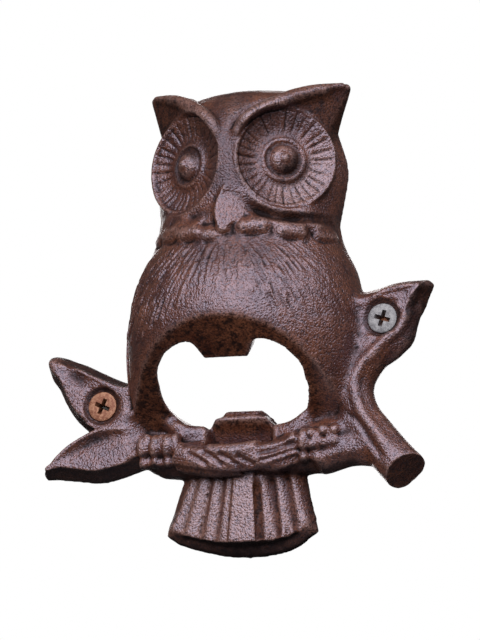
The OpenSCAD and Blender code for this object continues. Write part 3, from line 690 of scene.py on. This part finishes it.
# lines over the front, kind by kind in the order they are drawn: (x, z) places, half width, height
lines = {
    "soft": [
        ([(-56.5, 5.2), (-51, 1.9), (-46, -0.6), (-41, -3.2), (-36, -6)], 1.4, 0.4),  # left leaves' rims
        ([(-56, -27.2), (-52, -23.4), (-48, -20.4), (-43.5, -18.2), (-38, -17.2), (-32, -17.4)], 1.3, 0.5),
        ([(51, 19.4), (48.6, 15.2), (47.2, 10.4), (45.0, 6.8), (42.1, 4.6), (38.3, 0.8), (35.6, -2.4),
          (33.6, -6.9), (34.2, -11.6), (36.6, -16.4), (40.2, -21.2), (43.7, -25.6), (46, -28)],
         2.3, 0.9),  # ridge on the branch
        ([(50, 19.6), (45.5, 18.6), (41, 17.6), (36.6, 15.6)], 1.2, 0.5),  # right leaf's upper rim
        ([(30.6, -15.1), (35.7, -19.2), (38.9, -24.3), (43.2, -29.6)], 1.6, -0.5),  # groove in the branch
        ([(4.4, 61.7), (6, 64.1), (8.7, 66.6), (13.9, 69.9), (20.6, 72.8), (26, 75.3)], 2.8, 0.8),  # brows
        ([(-2.6, 62.2), (-5.2, 65.6), (-9.5, 69.5), (-16.2, 73), (-23, 75)], 2.6, 0.4),
        ([(-13.3, -25.4), (-9.7, -27.5), (-6.4, -29.8)], 1.3, -0.75),  # strands on the perch
        ([(-8.8, -25.3), (-4.9, -27.6), (-1.9, -30.1)], 1.3, -0.75),
        ([(-3.6, -26.5), (0.3, -28.6), (2.2, -30.1)], 1.3, -0.75),
        ([(1.7, -27.3), (4.7, -28.9), (7, -30)], 1.3, -0.7),
        ([(7.2, -26.9), (11.2, -26.1), (15.2, -24.7), (18.4, -23.9)], 1.3, -0.7),
        ([(7.8, -29.1), (11.9, -28), (15.8, -26.4), (19.2, -25.5)], 1.3, -0.7),
    ],
    "leafValleys": [
        ([(-53.4, 2.2), (-49.6, -1.2), (-46.8, -3.4), (-43.4, -6.2)], 2.9, -0.9),
        ([(-54.5, -26.8), (-47.4, -22.8), (-43.1, -20.6), (-39.5, -19.6), (-35, -19.2), (-29.5, -19.4)],
         2.3, -0.9),
        ([(-53, -27.2), (-46, -24.6), (-41, -22.8), (-36, -21.6), (-30, -21.4)], 4.2, -0.5),
    ],
    # wide and dull, on the right half of the tail, with painted shade in them
    "tailValleys": [
        ([(5.9, -33), (7.7, -51)], 1.8, -1.0), ([(9.6, -31.5), (12.4, -49.4)], 1.8, -1.0),
        ([(13.6, -30.4), (16.7, -47.3)], 1.8, -1.0),
    ],
    # under the eyes, with a painted shadow along them
    "creases": [
        ([(4.2, 43), (7.2, 39.8), (11.7, 38), (16.5, 37.4), (21.5, 37.8), (25.4, 38.8), (28.2, 40.2)],
         2.3, -1.9),
        ([(-5, 40.2), (-9, 38.4), (-14, 37.5), (-19.5, 37.8), (-24.4, 39.6)], 2.3, -0.5),
    ],
    # above the right brow
    "sharp": [([(0.4, 60.6), (2.2, 65), (4.9, 68.4), (9.5, 71.2), (15, 73.2)], 1.2, -0.8)],
    # low and round the neck
    "roll": [
        ([(5.5, 37.2), (12, 36.4), (19, 36), (25, 36.8)], 2.8, 0.8),
        ([(-6, 36.4), (-13, 36.4), (-21, 37)], 2.8, 0.8),
    ],
}
lineStyles = {"leafValleys": {"fade": 0.45}, "creases": {"fade": 0.3}, "sharp": {"sharp": True}}

# x, z, half width and lift of the ruff's tongues, which hang from the roll, and the groove along their edges
ruff = {"tongues": [(7.8, 34.2, 4.4, 2.0), (17.4, 33.2, 4.1, 1.9), (24.6, 33.8, 2.6, 1.0),
                    (-3.9, 32.4, 3.0, 1.5), (-10.4, 33.4, 3.6, 1.9), (-17, 34, 3.4, 1.3),
                    (-22.6, 34.6, 2.6, 0.8)],
        "tall": 3.5, "edgeAngles": np.linspace(-1.35, 1.35, 7), "edgeUp": 0.9, "edgeTall": 3.15,
        "edgeHalf": 1.2, "edgeHeight": -0.6}


def castOwl():
    casting = mergedCopy("owl_casting")
    feet = [toeBars(places, halfSize) for places, halfSize in toes["bars"]]
    rolls = [roundTube(path) for path in tubes["paths"]]
    work = newObject("work", joined([casting] + rolls + feet))
    remesh = work.modifiers.new("remesh", "REMESH")
    remesh.mode = "VOXEL"
    remesh.voxel_size = owl["voxel"] * mm
    mesh = finishedMesh(work)
    bpy.data.objects.remove(work)
    print("remeshed:", len(mesh.vertices), "points")
    skin = openSkin(mesh)
    formOwl(skin)
    for side in (-1, 1):
        skin["mesh"] = runTree(eyeTree, skin["mesh"], {
            **eyes, "Centre": [side * owl["eyeX"] * mm, owl["eyeY"] * mm, owl["eyeZ"] * mm],
            "Turn": math.radians(side * owl["eyeTurn"])})
    barbTree = breastBarbs()
    for seed, lift in barbs["runs"]:
        skin["mesh"] = runTree(barbTree, skin["mesh"], {**barbs, "Seed": seed, "Lift": lift})
    mesh = sandSkin(skin["mesh"])
    obj = newObject("owl", mesh)
    thin = obj.modifiers.new("thin", "DECIMATE")
    thin.ratio = min(1, owl["triangles"] / (2 * len(mesh.polygons)))
    final = finishedMesh(obj)
    bpy.data.objects.remove(obj)
    markHollows(final)
    final.shade_smooth()
    final.materials.clear()
    final.materials.append(ironPaint)
    print("casting:", len(final.polygons), "faces")
    return newObject("owl_body", final)


def formOwl(skin):
    levelLeaves(skin)
    points = skin["points"]
    everywhere = np.ones(len(points))
    soft = softness(points)
    relax(skin, soft, owl["plumpRounds"], keepBulk=True)
    relax(skin, soft, owl["softRounds"])
    blendForms(skin)
    formTooth(skin)
    formBeak(skin)
    relax(skin, everywhere, owl["formedRounds"])
    normals = normalsOf(skin)
    corners = readOut(skin["mesh"].loops, "vertex_index", 1, np.int32).reshape(-1, 4)
    bvh = BVHTree.FromPolygons(points.tolist(), corners.tolist())
    for kind, rows in lines.items():
        for places, halfWidth, height in rows:
            stroke(skin, bvh, normals, places, halfWidth, height, **lineStyles.get(kind, {}))
    for x, z, half, lift in ruff["tongues"]:
        stroke(skin, bvh, normals, [(x - 0.5 * half, z), (x + 0.5 * half, z)], ruff["tall"], lift, fade=0)
        top = z + ruff["edgeUp"]
        edge = [(x + half * math.sin(a), top - ruff["edgeTall"] * math.cos(a)) for a in ruff["edgeAngles"]]
        stroke(skin, bvh, normals, edge, ruff["edgeHalf"], ruff["edgeHeight"])
    relax(skin, everywhere, owl["drawnRounds"])
    relax(skin, inside(measures(points), leaves["last"]), leaves["lastRounds"])
    closeSkin(skin)


# rounds of smoothing, and where the mould was rounded
blends = [
    (60, [("x", 5.2, 6.4), ("x", 19.5, 18), ("z", -29.5, -31), ("tailFoot", 1, 2.5), ("y", -3, -4)]),  # tail
    (140, [("plateUp", -10, -12), ("plateUp", -23, -20), ("side", 8, 10), ("side", 31, 29),
           ("plateOut", -2, -0.5), ("plateOut", 5, 3.5)]),  # sills of the mouth
    (80, [("plateUp", -7.5, -9.5), ("plateUp", -19, -17), ("side", 18.5, 20.5), ("side", 34, 32),
          ("plateOut", -1.5, -0.4), ("plateOut", 4, 2.5)]),  # corners of the mouth
    (80, [("side", 12, 10), ("z", -14.5, -16.5), ("z", -25, -23.5), ("y", -10, -8),
          ("y", -1, -2.5)]),  # throat
    (60, [("x", 29, 31), ("x", 41, 39), ("z", -8, -11), ("z", -27, -24), ("y", -3, -5)]),  # end of the perch
    (14, [("side", 7, 4), ("z", 36, 38), ("z", 63, 60), ("y", -18, -20)]),  # bridge of the beak
    (40, [("z", 31, 33), ("z", 42, 40), ("y", -25, -24.4), ("y", -2, -4)]),  # chin
    (110, [("z", 25, 27), ("z", 37, 35.5), ("side", 3, 5), ("y", -6, -8)]),  # collar
    (40, [("x", 39, 42), ("z", -2, 1), ("z", 13, 11), ("rightRing", 6, 7)]),  # right leaf's joint
    (70, [("x", 26, 29), ("x", 39, 37), ("z", -14, -10), ("z", 26, 22), ("y", -15, -12), ("y", -3, -5),
          ("rightRing", 6, 7)]),  # branch along the body
]

# the branch's sawn end: a place on its lower edge, the way it faces and where the branch begins
stub = {"spot": (48.7, -1, -33), "way": (0.66, -0.4, -0.75), "fromX": 38, "toZ": -18, "rounds": 8}
stubWay = np.array(stub["way"]) / np.linalg.norm(stub["way"])

# x, z and reach of corners that are worn round
wornCorners = {"spots": [((-57.2, 3.8), 4.2), ((-22.5, -47.5), 4.5), ((21.5, -47), 4.5),
                         ((-23.5, -31.6), 4.2), ((22.8, -31.8), 4)], "rounds": 60}


# runs the forms into each other; the weights are all taken before the first smoothing
def blendForms(skin):
    points = skin["points"]
    along = measures(points)
    for weight, rounds in [(inside(along, region), rounds) for rounds, region in blends]:
        relax(skin, weight, rounds)
    points[:, 0] += tailForm["shift"] * inside(measures(points), tailForm["shifted"])
    swell = leaves["tipSwell"] * ramp(frontGap(points, leaves["tip"]), *leaves["tipReach"])
    points += swell[:, None] * normalsOf(skin) * np.array([1, 0, 1])
    beyond = np.maximum((points - np.array(stub["spot"])) @ stubWay, 0)
    beyond *= (points[:, 0] > stub["fromX"]) & (points[:, 2] < stub["toZ"])
    points -= beyond[:, None] * stubWay
    relax(skin, 1.0 * (beyond > 0), stub["rounds"])
    for spot, reach in wornCorners["spots"]:
        relax(skin, ramp(frontGap(points, spot), reach, 0.5 * reach), wornCorners["rounds"])


tooth = {
    "place": [("side", 11, 9), ("plateOut", -2.2, -0.6), ("plateOut", 6, 4), ("plateUp", -18, -16),
              ("plateUp", -6, -8)],
    "rise": 1.4, "riseOver": (-17, -13), "fall": 3.4, "fallOver": (-12.6, -9.4),
    "wall": [("side", 10.5, 8), ("z", -14, -15.5), ("z", -26, -24), ("y", -1.2, -2), ("y", -9, -7.5)],
    "wallZ": [-23, -14.5], "wallY": [-0.9, -6.4],
}


# the lower tooth: a slanted bright top over a face that falls back
def formTooth(skin):
    points = skin["points"]
    along = measures(points)
    up = along["plateUp"]
    out = tooth["rise"] * ramp(up, *tooth["riseOver"]) - tooth["fall"] * ramp(up, *tooth["fallOver"])
    points += (inside(along, tooth["place"]) * out)[:, None] * plateOut
    wall = inside(measures(points), tooth["wall"])
    points[:, 1] += wall * (np.interp(points[:, 2], tooth["wallZ"], tooth["wallY"]) - points[:, 1])


# left and right edge of the beak's shield by height, and its face
beak = {"z": [32.6, 34.4, 36.2, 38.6, 42.4, 45], "leftX": [0.4, -0.9, -1.6, -1.9, -1.2, 0.8],
        "rightX": [0.7, 1.2, 3.2, 5.4, 4.2, 1.2], "frontY": -25.3, "midZ": 36, "slopeX": 0.4, "slopeZ": 0.12,
        "leftEase": 1.4, "rightEase": (1.2, -0.3),
        "place": [("z", 32.2, 33.2), ("z", 46.5, 44), ("y", -16, -17), ("facesOut", 0.1, 0.5)]}


# the beak is a shield, flat and turned a little to the right
def formBeak(skin):
    points = skin["points"]
    x, y, z = points.T
    left, right = np.interp(z, beak["z"], beak["leftX"]), np.interp(z, beak["z"], beak["rightX"])
    face = beak["frontY"] + beak["slopeX"] * (x - min(beak["leftX"])) + beak["slopeZ"] * (z - beak["midZ"])
    over, under = beak["rightEase"]
    on = ramp(x, left - beak["leftEase"], left) * ramp(x, right + over, right + under)
    on *= inside(measures(points, normalsOf(skin)), beak["place"])
    points[:, 1] += on * (face - y)


# distance to the nearest of some lines over the front
def lineGap(points, rows):
    gaps = []
    for places, halfWidth, height in rows:
        for start, end in zip(np.array(places), np.array(places[1:])):
            away, run = points[:, [0, 2]] - start, end - start
            share = np.clip(away @ run / (run @ run), 0, 1)
            gaps.append(np.linalg.norm(away - share[:, None] * run, axis=1))
    return np.min(gaps, axis=0)


# eye (-1 left, 1 right), middle of the sector in degrees, radius from and to, strength
# the first list is painted shade and painted shadow on the dishes' upper sides and beside the pupils; the
# second is a painted highlight on the right eye's lower petals
eyeSides = {"dark": [(1, 125, 6.5, 13.2, 0.3), (1, -35, 2.4, 4.8, 0.75), (1, -55, 5.9, 7.4, 0.5),
                     (-1, 50, 6.5, 13.2, 0.3), (-1, 195, 2.6, 5.4, 0.7), (-1, 80, 3.0, 5.4, 0.6)],
            "wearAndHighlight": [(1, -40, 7.6, 13.4, 0.75)],
            "spread": (0.1, 0.75), "thick": (4.5, 3.5), "easeIn": 0.8, "easeOut": 0.7}


# share of painted shade or painted highlight in sectors of the eye dishes
def eyeSectors(points, kind):
    shade = np.zeros(len(points))
    for side, middle, start, end, strength in eyeSides[kind]:
        away = points - np.array([side * owl["eyeX"], owl["eyeY"], owl["eyeZ"]])
        turn = math.radians(side * owl["eyeTurn"])
        across = away[:, 0] * math.cos(turn) + away[:, 1] * math.sin(turn)
        out = away[:, 0] * math.sin(turn) - away[:, 1] * math.cos(turn)
        radius, angle = np.hypot(across, away[:, 2]), np.arctan2(away[:, 2], across)
        sector = ramp(np.cos(angle - math.radians(middle)), *eyeSides["spread"])
        sector *= ramp(np.abs(out), *eyeSides["thick"])
        ring = ramp(radius, start - eyeSides["easeIn"], start) * ramp(radius, end + eyeSides["easeOut"], end)
        shade = np.maximum(shade, strength * sector * ring)
    return shade


# where painted shade falls in hollows, under downward faces, on the mouth's plate and in the tail's valleys,
# and painted highlight on the tail's front
hollows = {
    "rounds": 12, "step": 0.7, "sunk": (0.04, 0.29), "raised": (0.03, 0.35),
    "rope": [("side", 19, 17), ("z", -21, -23), ("z", -31.5, -30), ("y", -7, -8.5)], "ropeLess": 0.45,
    "tail": [("z", -30.5, -32), ("side", 26, 24)], "tailLess": 0.6,
    "tailFace": [("z", -31, -33), ("facesOut", 0.75, 0.9), ("side", 26, 24)], "tailHighlight": 0.85,
    "valleys": [("valleyGap", 1.3, 0.4), ("z", -30.5, -32), ("side", 26, 24), ("facesOut", -0.1, 0.2)],
    "below": [("facesUp", -0.45, -0.8), ("y", -12, -9), ("z", -16, -24), ("x", 36, 33)],
    "belowDark": 0.7, "footDark": 0.25, "footZ": (-42, -46),
    "plate": [("plateOff", 1.6, 0.8), ("facesPlate", 0.7, 0.9)],
    "plateRight": (22, 27), "rightLess": 0.7, "plateDark": 0.15, "plateLeft": (-12, -20), "leftMore": 0.25,
}

# painted shade on these regions: how dark, how dull, and where
shades = [
    (0.3, 0.85, hollows["valleys"]),  # tail's valleys
    (0.7, 0.7, [("x", -33, -35), ("facesOut", 0.7, 0.4), ("facesOut", -0.5, -0.2)]),  # left leaves' walls
    (0.6, 0.75, [("x", 42, 45), ("z", 1, 4), ("facesRight", 0.2, 0.55)]),  # right leaf's wall
    (0.24, 0.6, [("stubOut", -0.9, -0.3), ("facesStub", 0.7, 0.9), ("x", 36, 38),
                 ("z", -18, -20)]),  # the branch's sawn end
    (0.16, 0.32, [("z", 20, 26), ("z", 33, 31), ("x", -16, -8), ("x", 20, 12), ("facesOut", -0.1, 0.2),
                  ("y", -12, -14)]),  # top of the breast
    (0.55, 0.55, [("ring", 5.7, 5.1)]),  # round the screws
    (0.3, 0.3, [("side", 7, 4), ("z", 44, 47), ("facesOut", -0.1, 0.2)]),  # between the eyes
    (0.4, 0.8, [("z", -29, -31), ("tailSide", -0.3, 0.5), ("x", 26, 24)]),  # tail's right flank
    (0.5, 0.9, [("side", 15, 18), ("z", 62, 66), ("facesAside", 0.4, 0.6), ("facesUp", 0.25, 0.05)]),  # ears
    (0.7, 0.9, [("creaseGap", 2.4, 1.0), ("y", -5, -7), ("x", 5, 11),
                ("facesOut", -0.1, 0.2)]),  # under the eyes
]


# stores painted shade (hollow) for hollows, creases, undersides and shaded faces, worn paint and painted
# highlight (edge), and how dull each point is
def markHollows(mesh):
    skin = openSkin(mesh)
    points, normals = skin["points"], normalsOf(skin)
    smooth = points.copy()
    for turn in range(hollows["rounds"]):
        smooth += hollows["step"] * (neighbourMean(skin, smooth) - smooth)
    sunk = np.sum((smooth - points) * normals, axis=1)
    along = measures(points, normals)
    along |= {"creaseGap": lineGap(points, lines["creases"]),
              "valleyGap": lineGap(points, lines["tailValleys"]),
              "stubOut": (points - np.array(stub["spot"])) @ stubWay, "facesStub": normals @ stubWay}
    # painted shade in hollows, less on the rope and the tail
    cavity = ramp(sunk, *hollows["sunk"]) * (1 - hollows["ropeLess"] * inside(along, hollows["rope"]))
    # painted shade under downward faces, darker towards the tail's foot
    below = inside(along, hollows["below"])
    below *= hollows["belowDark"] + hollows["footDark"] * ramp(along["z"], *hollows["footZ"])
    # painted shade on the mouth's plate, less on its right and more on its left
    plate = inside(along, hollows["plate"])
    plate *= 1 - hollows["rightLess"] * ramp(along["x"], *hollows["plateRight"])
    plateDark = hollows["plateDark"] + hollows["leftMore"] * ramp(along["x"], *hollows["plateLeft"])
    # painted shade and painted shadow in the eye dishes and round the pupils
    inEyes = eyeSectors(points, "dark")
    lessOnTail = 1 - hollows["tailLess"] * inside(along, hollows["tail"])
    hollow = [cavity * lessOnTail, below, inEyes, plateDark * plate]
    matte = [cavity, below, inEyes, plate]
    for dark, dull, region in shades:
        share = inside(along, region)
        hollow.append(dark * share)
        matte.append(dull * share)
    # painted highlight on the tail's front
    tail = hollows["tailHighlight"] * inside(along, hollows["tailFace"])
    wearAndHighlight = np.maximum.reduce([ramp(-sunk, *hollows["raised"]), tail, eyeSectors(points, "wearAndHighlight")])
    storeOn(mesh, "hollow", np.maximum.reduce(hollow))
    storeOn(mesh, "edge", wearAndHighlight * (1 - inside(along, hollows["valleys"])))
    storeOn(mesh, "matte", np.maximum.reduce(matte))


eyeTree = eyeDish()
owlBody = castOwl()
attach(owlBody, "root")
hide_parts("owl_casting")

# Screws; measures in millimetres

screwForm = {
    # radius and depth from the head's flat middle down the plain shank
    "outline": [(2.2, -0.02), (3.7, 0), (4.05, 0.1), (4.15, 0.3), (4.15, 0.5), (1.7, 2.95),
                (1.62, 6.6)],
    "thread": {"Pitch": 1.8, "Ridge": 0.62, "From": 7.2, "To": 21.6, "Tip": 28},
    "core": 1.35, "point": 0.12, "steps": 120, "pointSteps": 40, "sides": 40, "crest": (0.24, 0.48),
    "arm": 1.2, "reach": 2.3, "cross": [(1.12, -0.4), (1, 0), (0.42, 2.4)],  # size and depth of the recess
    "recess": (0.15, 0.7), "recessR": 2.75, "recessDeep": 2.6, "sharp": 35,
}


# raises the thread on a turned screw
def screwThread():
    tree, given = newTree("screwThread", {key: "Float" for key in screwForm["thread"]})
    at = axes(tree, position(tree))
    turns = maths(tree, "DIVIDE", maths(tree, "ARCTAN2", at["Z"], at["X"]), 2 * math.pi)
    phase = maths(tree, "ADD", maths(tree, "DIVIDE", at["Y"], given["Pitch"]), turns)
    crest = mapped(tree, maths(tree, "PINGPONG", phase, 0.5), screwForm["crest"])
    fullFrom = maths(tree, "ADD", given["From"], given["Pitch"])
    lift = product(tree, crest, given["Ridge"], mapped(tree, at["Y"], (given["From"], fullFrom)),
                   mapped(tree, at["Y"], (given["To"], given["Tip"]), fading))
    way = vectors(tree, "NORMALIZE", fromAxes(tree, X=at["X"], Z=at["Z"]))
    raised = addNode(tree, "GeometryNodeSetPosition", {
        "Geometry": given["Geometry"], "Offset": scaled(tree, way, lift)})
    return endTree(tree, raised.outputs[0], zincSteel)


# a closed mesh over rings of points; a ring of one point is a tip
def ringMesh(name, outlines, capped=False):
    work = bmesh.new()
    rings = [[work.verts.new([c * mm for c in point]) for point in outline] for outline in outlines]
    for low, high in zip(rings, rings[1:]):
        count = max(len(low), len(high))
        for k in range(count):
            n = (k + 1) % count
            corners = low[n % len(low)], low[k % len(low)], high[k % len(high)], high[n % len(high)]
            work.faces.new(list(dict.fromkeys(corners)))
    if capped:
        work.faces.new(rings[0])
        work.faces.new(rings[-1][::-1])
    bmesh.ops.recalc_face_normals(work, faces=work.faces)
    return meshFrom(work, name)


# the screw as it comes off the lathe
def turnedScrew():
    thread, core, sides = screwForm["thread"], screwForm["core"], screwForm["sides"]
    rows = list(screwForm["outline"])
    for k in range(screwForm["steps"] + 1):
        rows.append((core, thread["From"] + (thread["To"] - thread["From"]) * k / screwForm["steps"]))
    for k in range(1, screwForm["pointSteps"]):
        t = k / screwForm["pointSteps"]
        radius = core * (1 - t) + screwForm["point"] * t
        rows.append((radius, thread["To"] + (thread["Tip"] - thread["To"]) * t))
    turns = [2 * math.pi * k / sides for k in range(sides)]
    outlines = [[(r * math.cos(a), y, r * math.sin(a)) for a in turns] for r, y in rows]
    return ringMesh("screw", [[(0, 0, 0)]] + outlines + [[(0, thread["Tip"], 0)]])


# tapered cross that cuts the driver recess
def crossCutter():
    arm, reach = screwForm["arm"] / 2, screwForm["reach"]
    quarter = [(arm, arm), (arm, reach), (-arm, reach)]
    outline = []
    for k in range(4):
        c, s = math.cos(math.pi / 2 * k), math.sin(math.pi / 2 * k)
        outline += [(x * c - y * s, x * s + y * c) for x, y in quarter]
    outlines = [[(x * scale, depth, y * scale) for x, y in outline] for scale, depth in screwForm["cross"]]
    return ringMesh("cross", outlines, capped=True)


def makeScrew(name, node, turn, steel):
    sizes = {key: value * mm for key, value in screwForm["thread"].items()}
    obj = newObject("work", runTree(threadTree, turnedScrew(), sizes))
    cutter = newObject("cutter", crossCutter())
    cutter.rotation_euler = (0, math.radians(-turn), 0)
    cut = obj.modifiers.new("recess", "BOOLEAN")
    cut.object = cutter
    cut.solver = "EXACT"
    mesh = finishedMesh(obj)
    bpy.data.objects.remove(obj)
    bpy.data.objects.remove(cutter)
    low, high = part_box(node)
    centre = (low + high) / 2
    x, y, z = readOut(mesh.vertices, "co", 3, np.float32).astype(float).T / mm
    inRecess = (np.hypot(x, z) < screwForm["recessR"]) * (y < screwForm["recessDeep"])
    # painted shade: the driver recess is marked for its darker colour
    storeOn(mesh, "hollow", ramp(y, *screwForm["recess"]) * inRecess)
    mesh.transform(Matrix.Translation((centre.x, low.y, centre.z)))
    mesh.shade_smooth()
    mesh.set_sharp_from_angle(angle=math.radians(screwForm["sharp"]))
    mesh.materials.clear()
    mesh.materials.append(steel)
    piece = newObject(name, mesh)
    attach(piece, "root")
    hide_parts(node)
    print(name, "made:", len(mesh.polygons), "faces")


threadTree = screwThread()
makeScrew("wood_screw_left", "left_screw", -23, rustedSteel)
makeScrew("wood_screw_right", "right_screw", -17, zincSteel)

# Stage, light and camera; measures in metres

stageSizes = {
    "floorZ": -1.5, "floorSide": 1.6, "floorTint": "#d6d6d6", "floorRough": 0.9,
    "skyTint": "#fffaf6", "light": (0.04, 0.11), "horizon": (-0.35, 0.3),  # its light from below to above
    "behind": (0.9, 0.96),  # the white backdrop's soft edge, as cosines from its middle
    # name, place, width, height, power in watts
    "softboxes": [("key_softbox", (-0.12, -1.12, 0.48), 1.25, 1.15, 19.5),
                  ("side_softbox", (0.78, -0.62, 0.7), 0.7, 0.7, 6.5),
                  ("back_softbox", (-0.44, 1.19, 0.3), 0.8, 0.8, 7.5)],
    "lampTint": "#fff8f4", "lampAim": (0, 0, 0.01),
}


# a pale, matt floor far below the object
def plainFloor():
    half = stageSizes["floorSide"] / 2
    mesh = bpy.data.meshes.new("floor")
    corners = [(-half, -half), (half, -half), (half, half), (-half, half)]
    mesh.from_pydata([(x, y, stageSizes["floorZ"]) for x, y in corners], [], [(0, 1, 2, 3)])
    material, tree = newMaterial("pale_floor")
    endMaterial(tree, {"Base Color": tint(stageSizes["floorTint"]), "Roughness": stageSizes["floorRough"]})
    mesh.materials.append(material)
    floor = newObject("floor", mesh)


def softLamp(name, spot, width, height, power):
    lamp = bpy.data.lights.new(name, "AREA")
    lamp.shape = "RECTANGLE"
    lamp.size, lamp.size_y = width, height
    lamp.energy = power
    lamp.color = tint(stageSizes["lampTint"])[:3]
    obj = newObject(name, lamp)
    obj.visible_camera = False  # only its light counts, in every view
    obj.location = spot
    obj.rotation_euler = (Vector(stageSizes["lampAim"]) - Vector(spot)).to_track_quat("-Z", "Y").to_euler()


# a plain room, dim towards the ground, with a white backdrop behind the object for the eye and for gloss
def softRoom(away):
    world = bpy.data.worlds.new("soft_room")
    world.use_nodes = True
    tree = world.node_tree
    tree.nodes.clear()
    way = addNode(tree, "ShaderNodeTexCoord").outputs["Generated"]
    level = mapped(tree, axes(tree, way)["Z"], stageSizes["horizon"], stageSizes["light"], smooth=True)
    path = addNode(tree, "ShaderNodeLightPath").outputs
    seen = maths(tree, "MAXIMUM", path["Is Camera Ray"], path["Is Glossy Ray"])
    seen = maths(tree, "MAXIMUM", seen, path["Is Transmission Ray"])
    facing = vectors(tree, "DOT_PRODUCT", way, away, gives="Value")
    shown = maths(tree, "MULTIPLY", seen, mapped(tree, facing, stageSizes["behind"], smooth=True))
    room = addNode(tree, "ShaderNodeBackground", {"Color": tint(stageSizes["skyTint"]), "Strength": level})
    white = addNode(tree, "ShaderNodeBackground", {"Color": (1, 1, 1, 1), "Strength": 1.0})
    both = addNode(tree, "ShaderNodeMixShader", {0: shown, 1: room.outputs[0], 2: white.outputs[0]})
    addNode(tree, "ShaderNodeOutputWorld", {"Surface": both.outputs[0]})
    scene.world = world


photoView = {"azimuth": 20.0, "elevation": -13.4, "roll": 1.75, "distance": 1.1,
             "target": (-0.003, 0, 0.01375), "lens": 223.6, "sensor": 36}


# the photograph's view: from the right and below, a long lens, rolled a little
def photoCamera():
    azimuth, elevation, roll = [math.radians(photoView[key]) for key in ("azimuth", "elevation", "roll")]
    flat = math.cos(elevation)
    back = Vector((math.sin(azimuth) * flat, -math.cos(azimuth) * flat, math.sin(elevation)))
    right = Vector((math.cos(azimuth), math.sin(azimuth), 0))
    up = back.cross(right)
    rolledRight = math.cos(roll) * right + math.sin(roll) * up
    rolledUp = math.cos(roll) * up - math.sin(roll) * right
    lens = bpy.data.cameras.new("photo_camera")
    lens.sensor_width = photoView["sensor"]
    lens.lens = photoView["lens"]
    camera = newObject("photo_camera", lens)
    turn = Matrix((rolledRight, rolledUp, back)).transposed()
    place = Vector(photoView["target"]) + back * photoView["distance"]
    camera.matrix_world = Matrix.Translation(place) @ turn.to_4x4()
    scene.camera = camera


plainFloor()
for softbox in stageSizes["softboxes"]:
    softLamp(*softbox)
photoCamera()
softRoom(tuple(-scene.camera.matrix_world.col[2].xyz))
print("stage set")
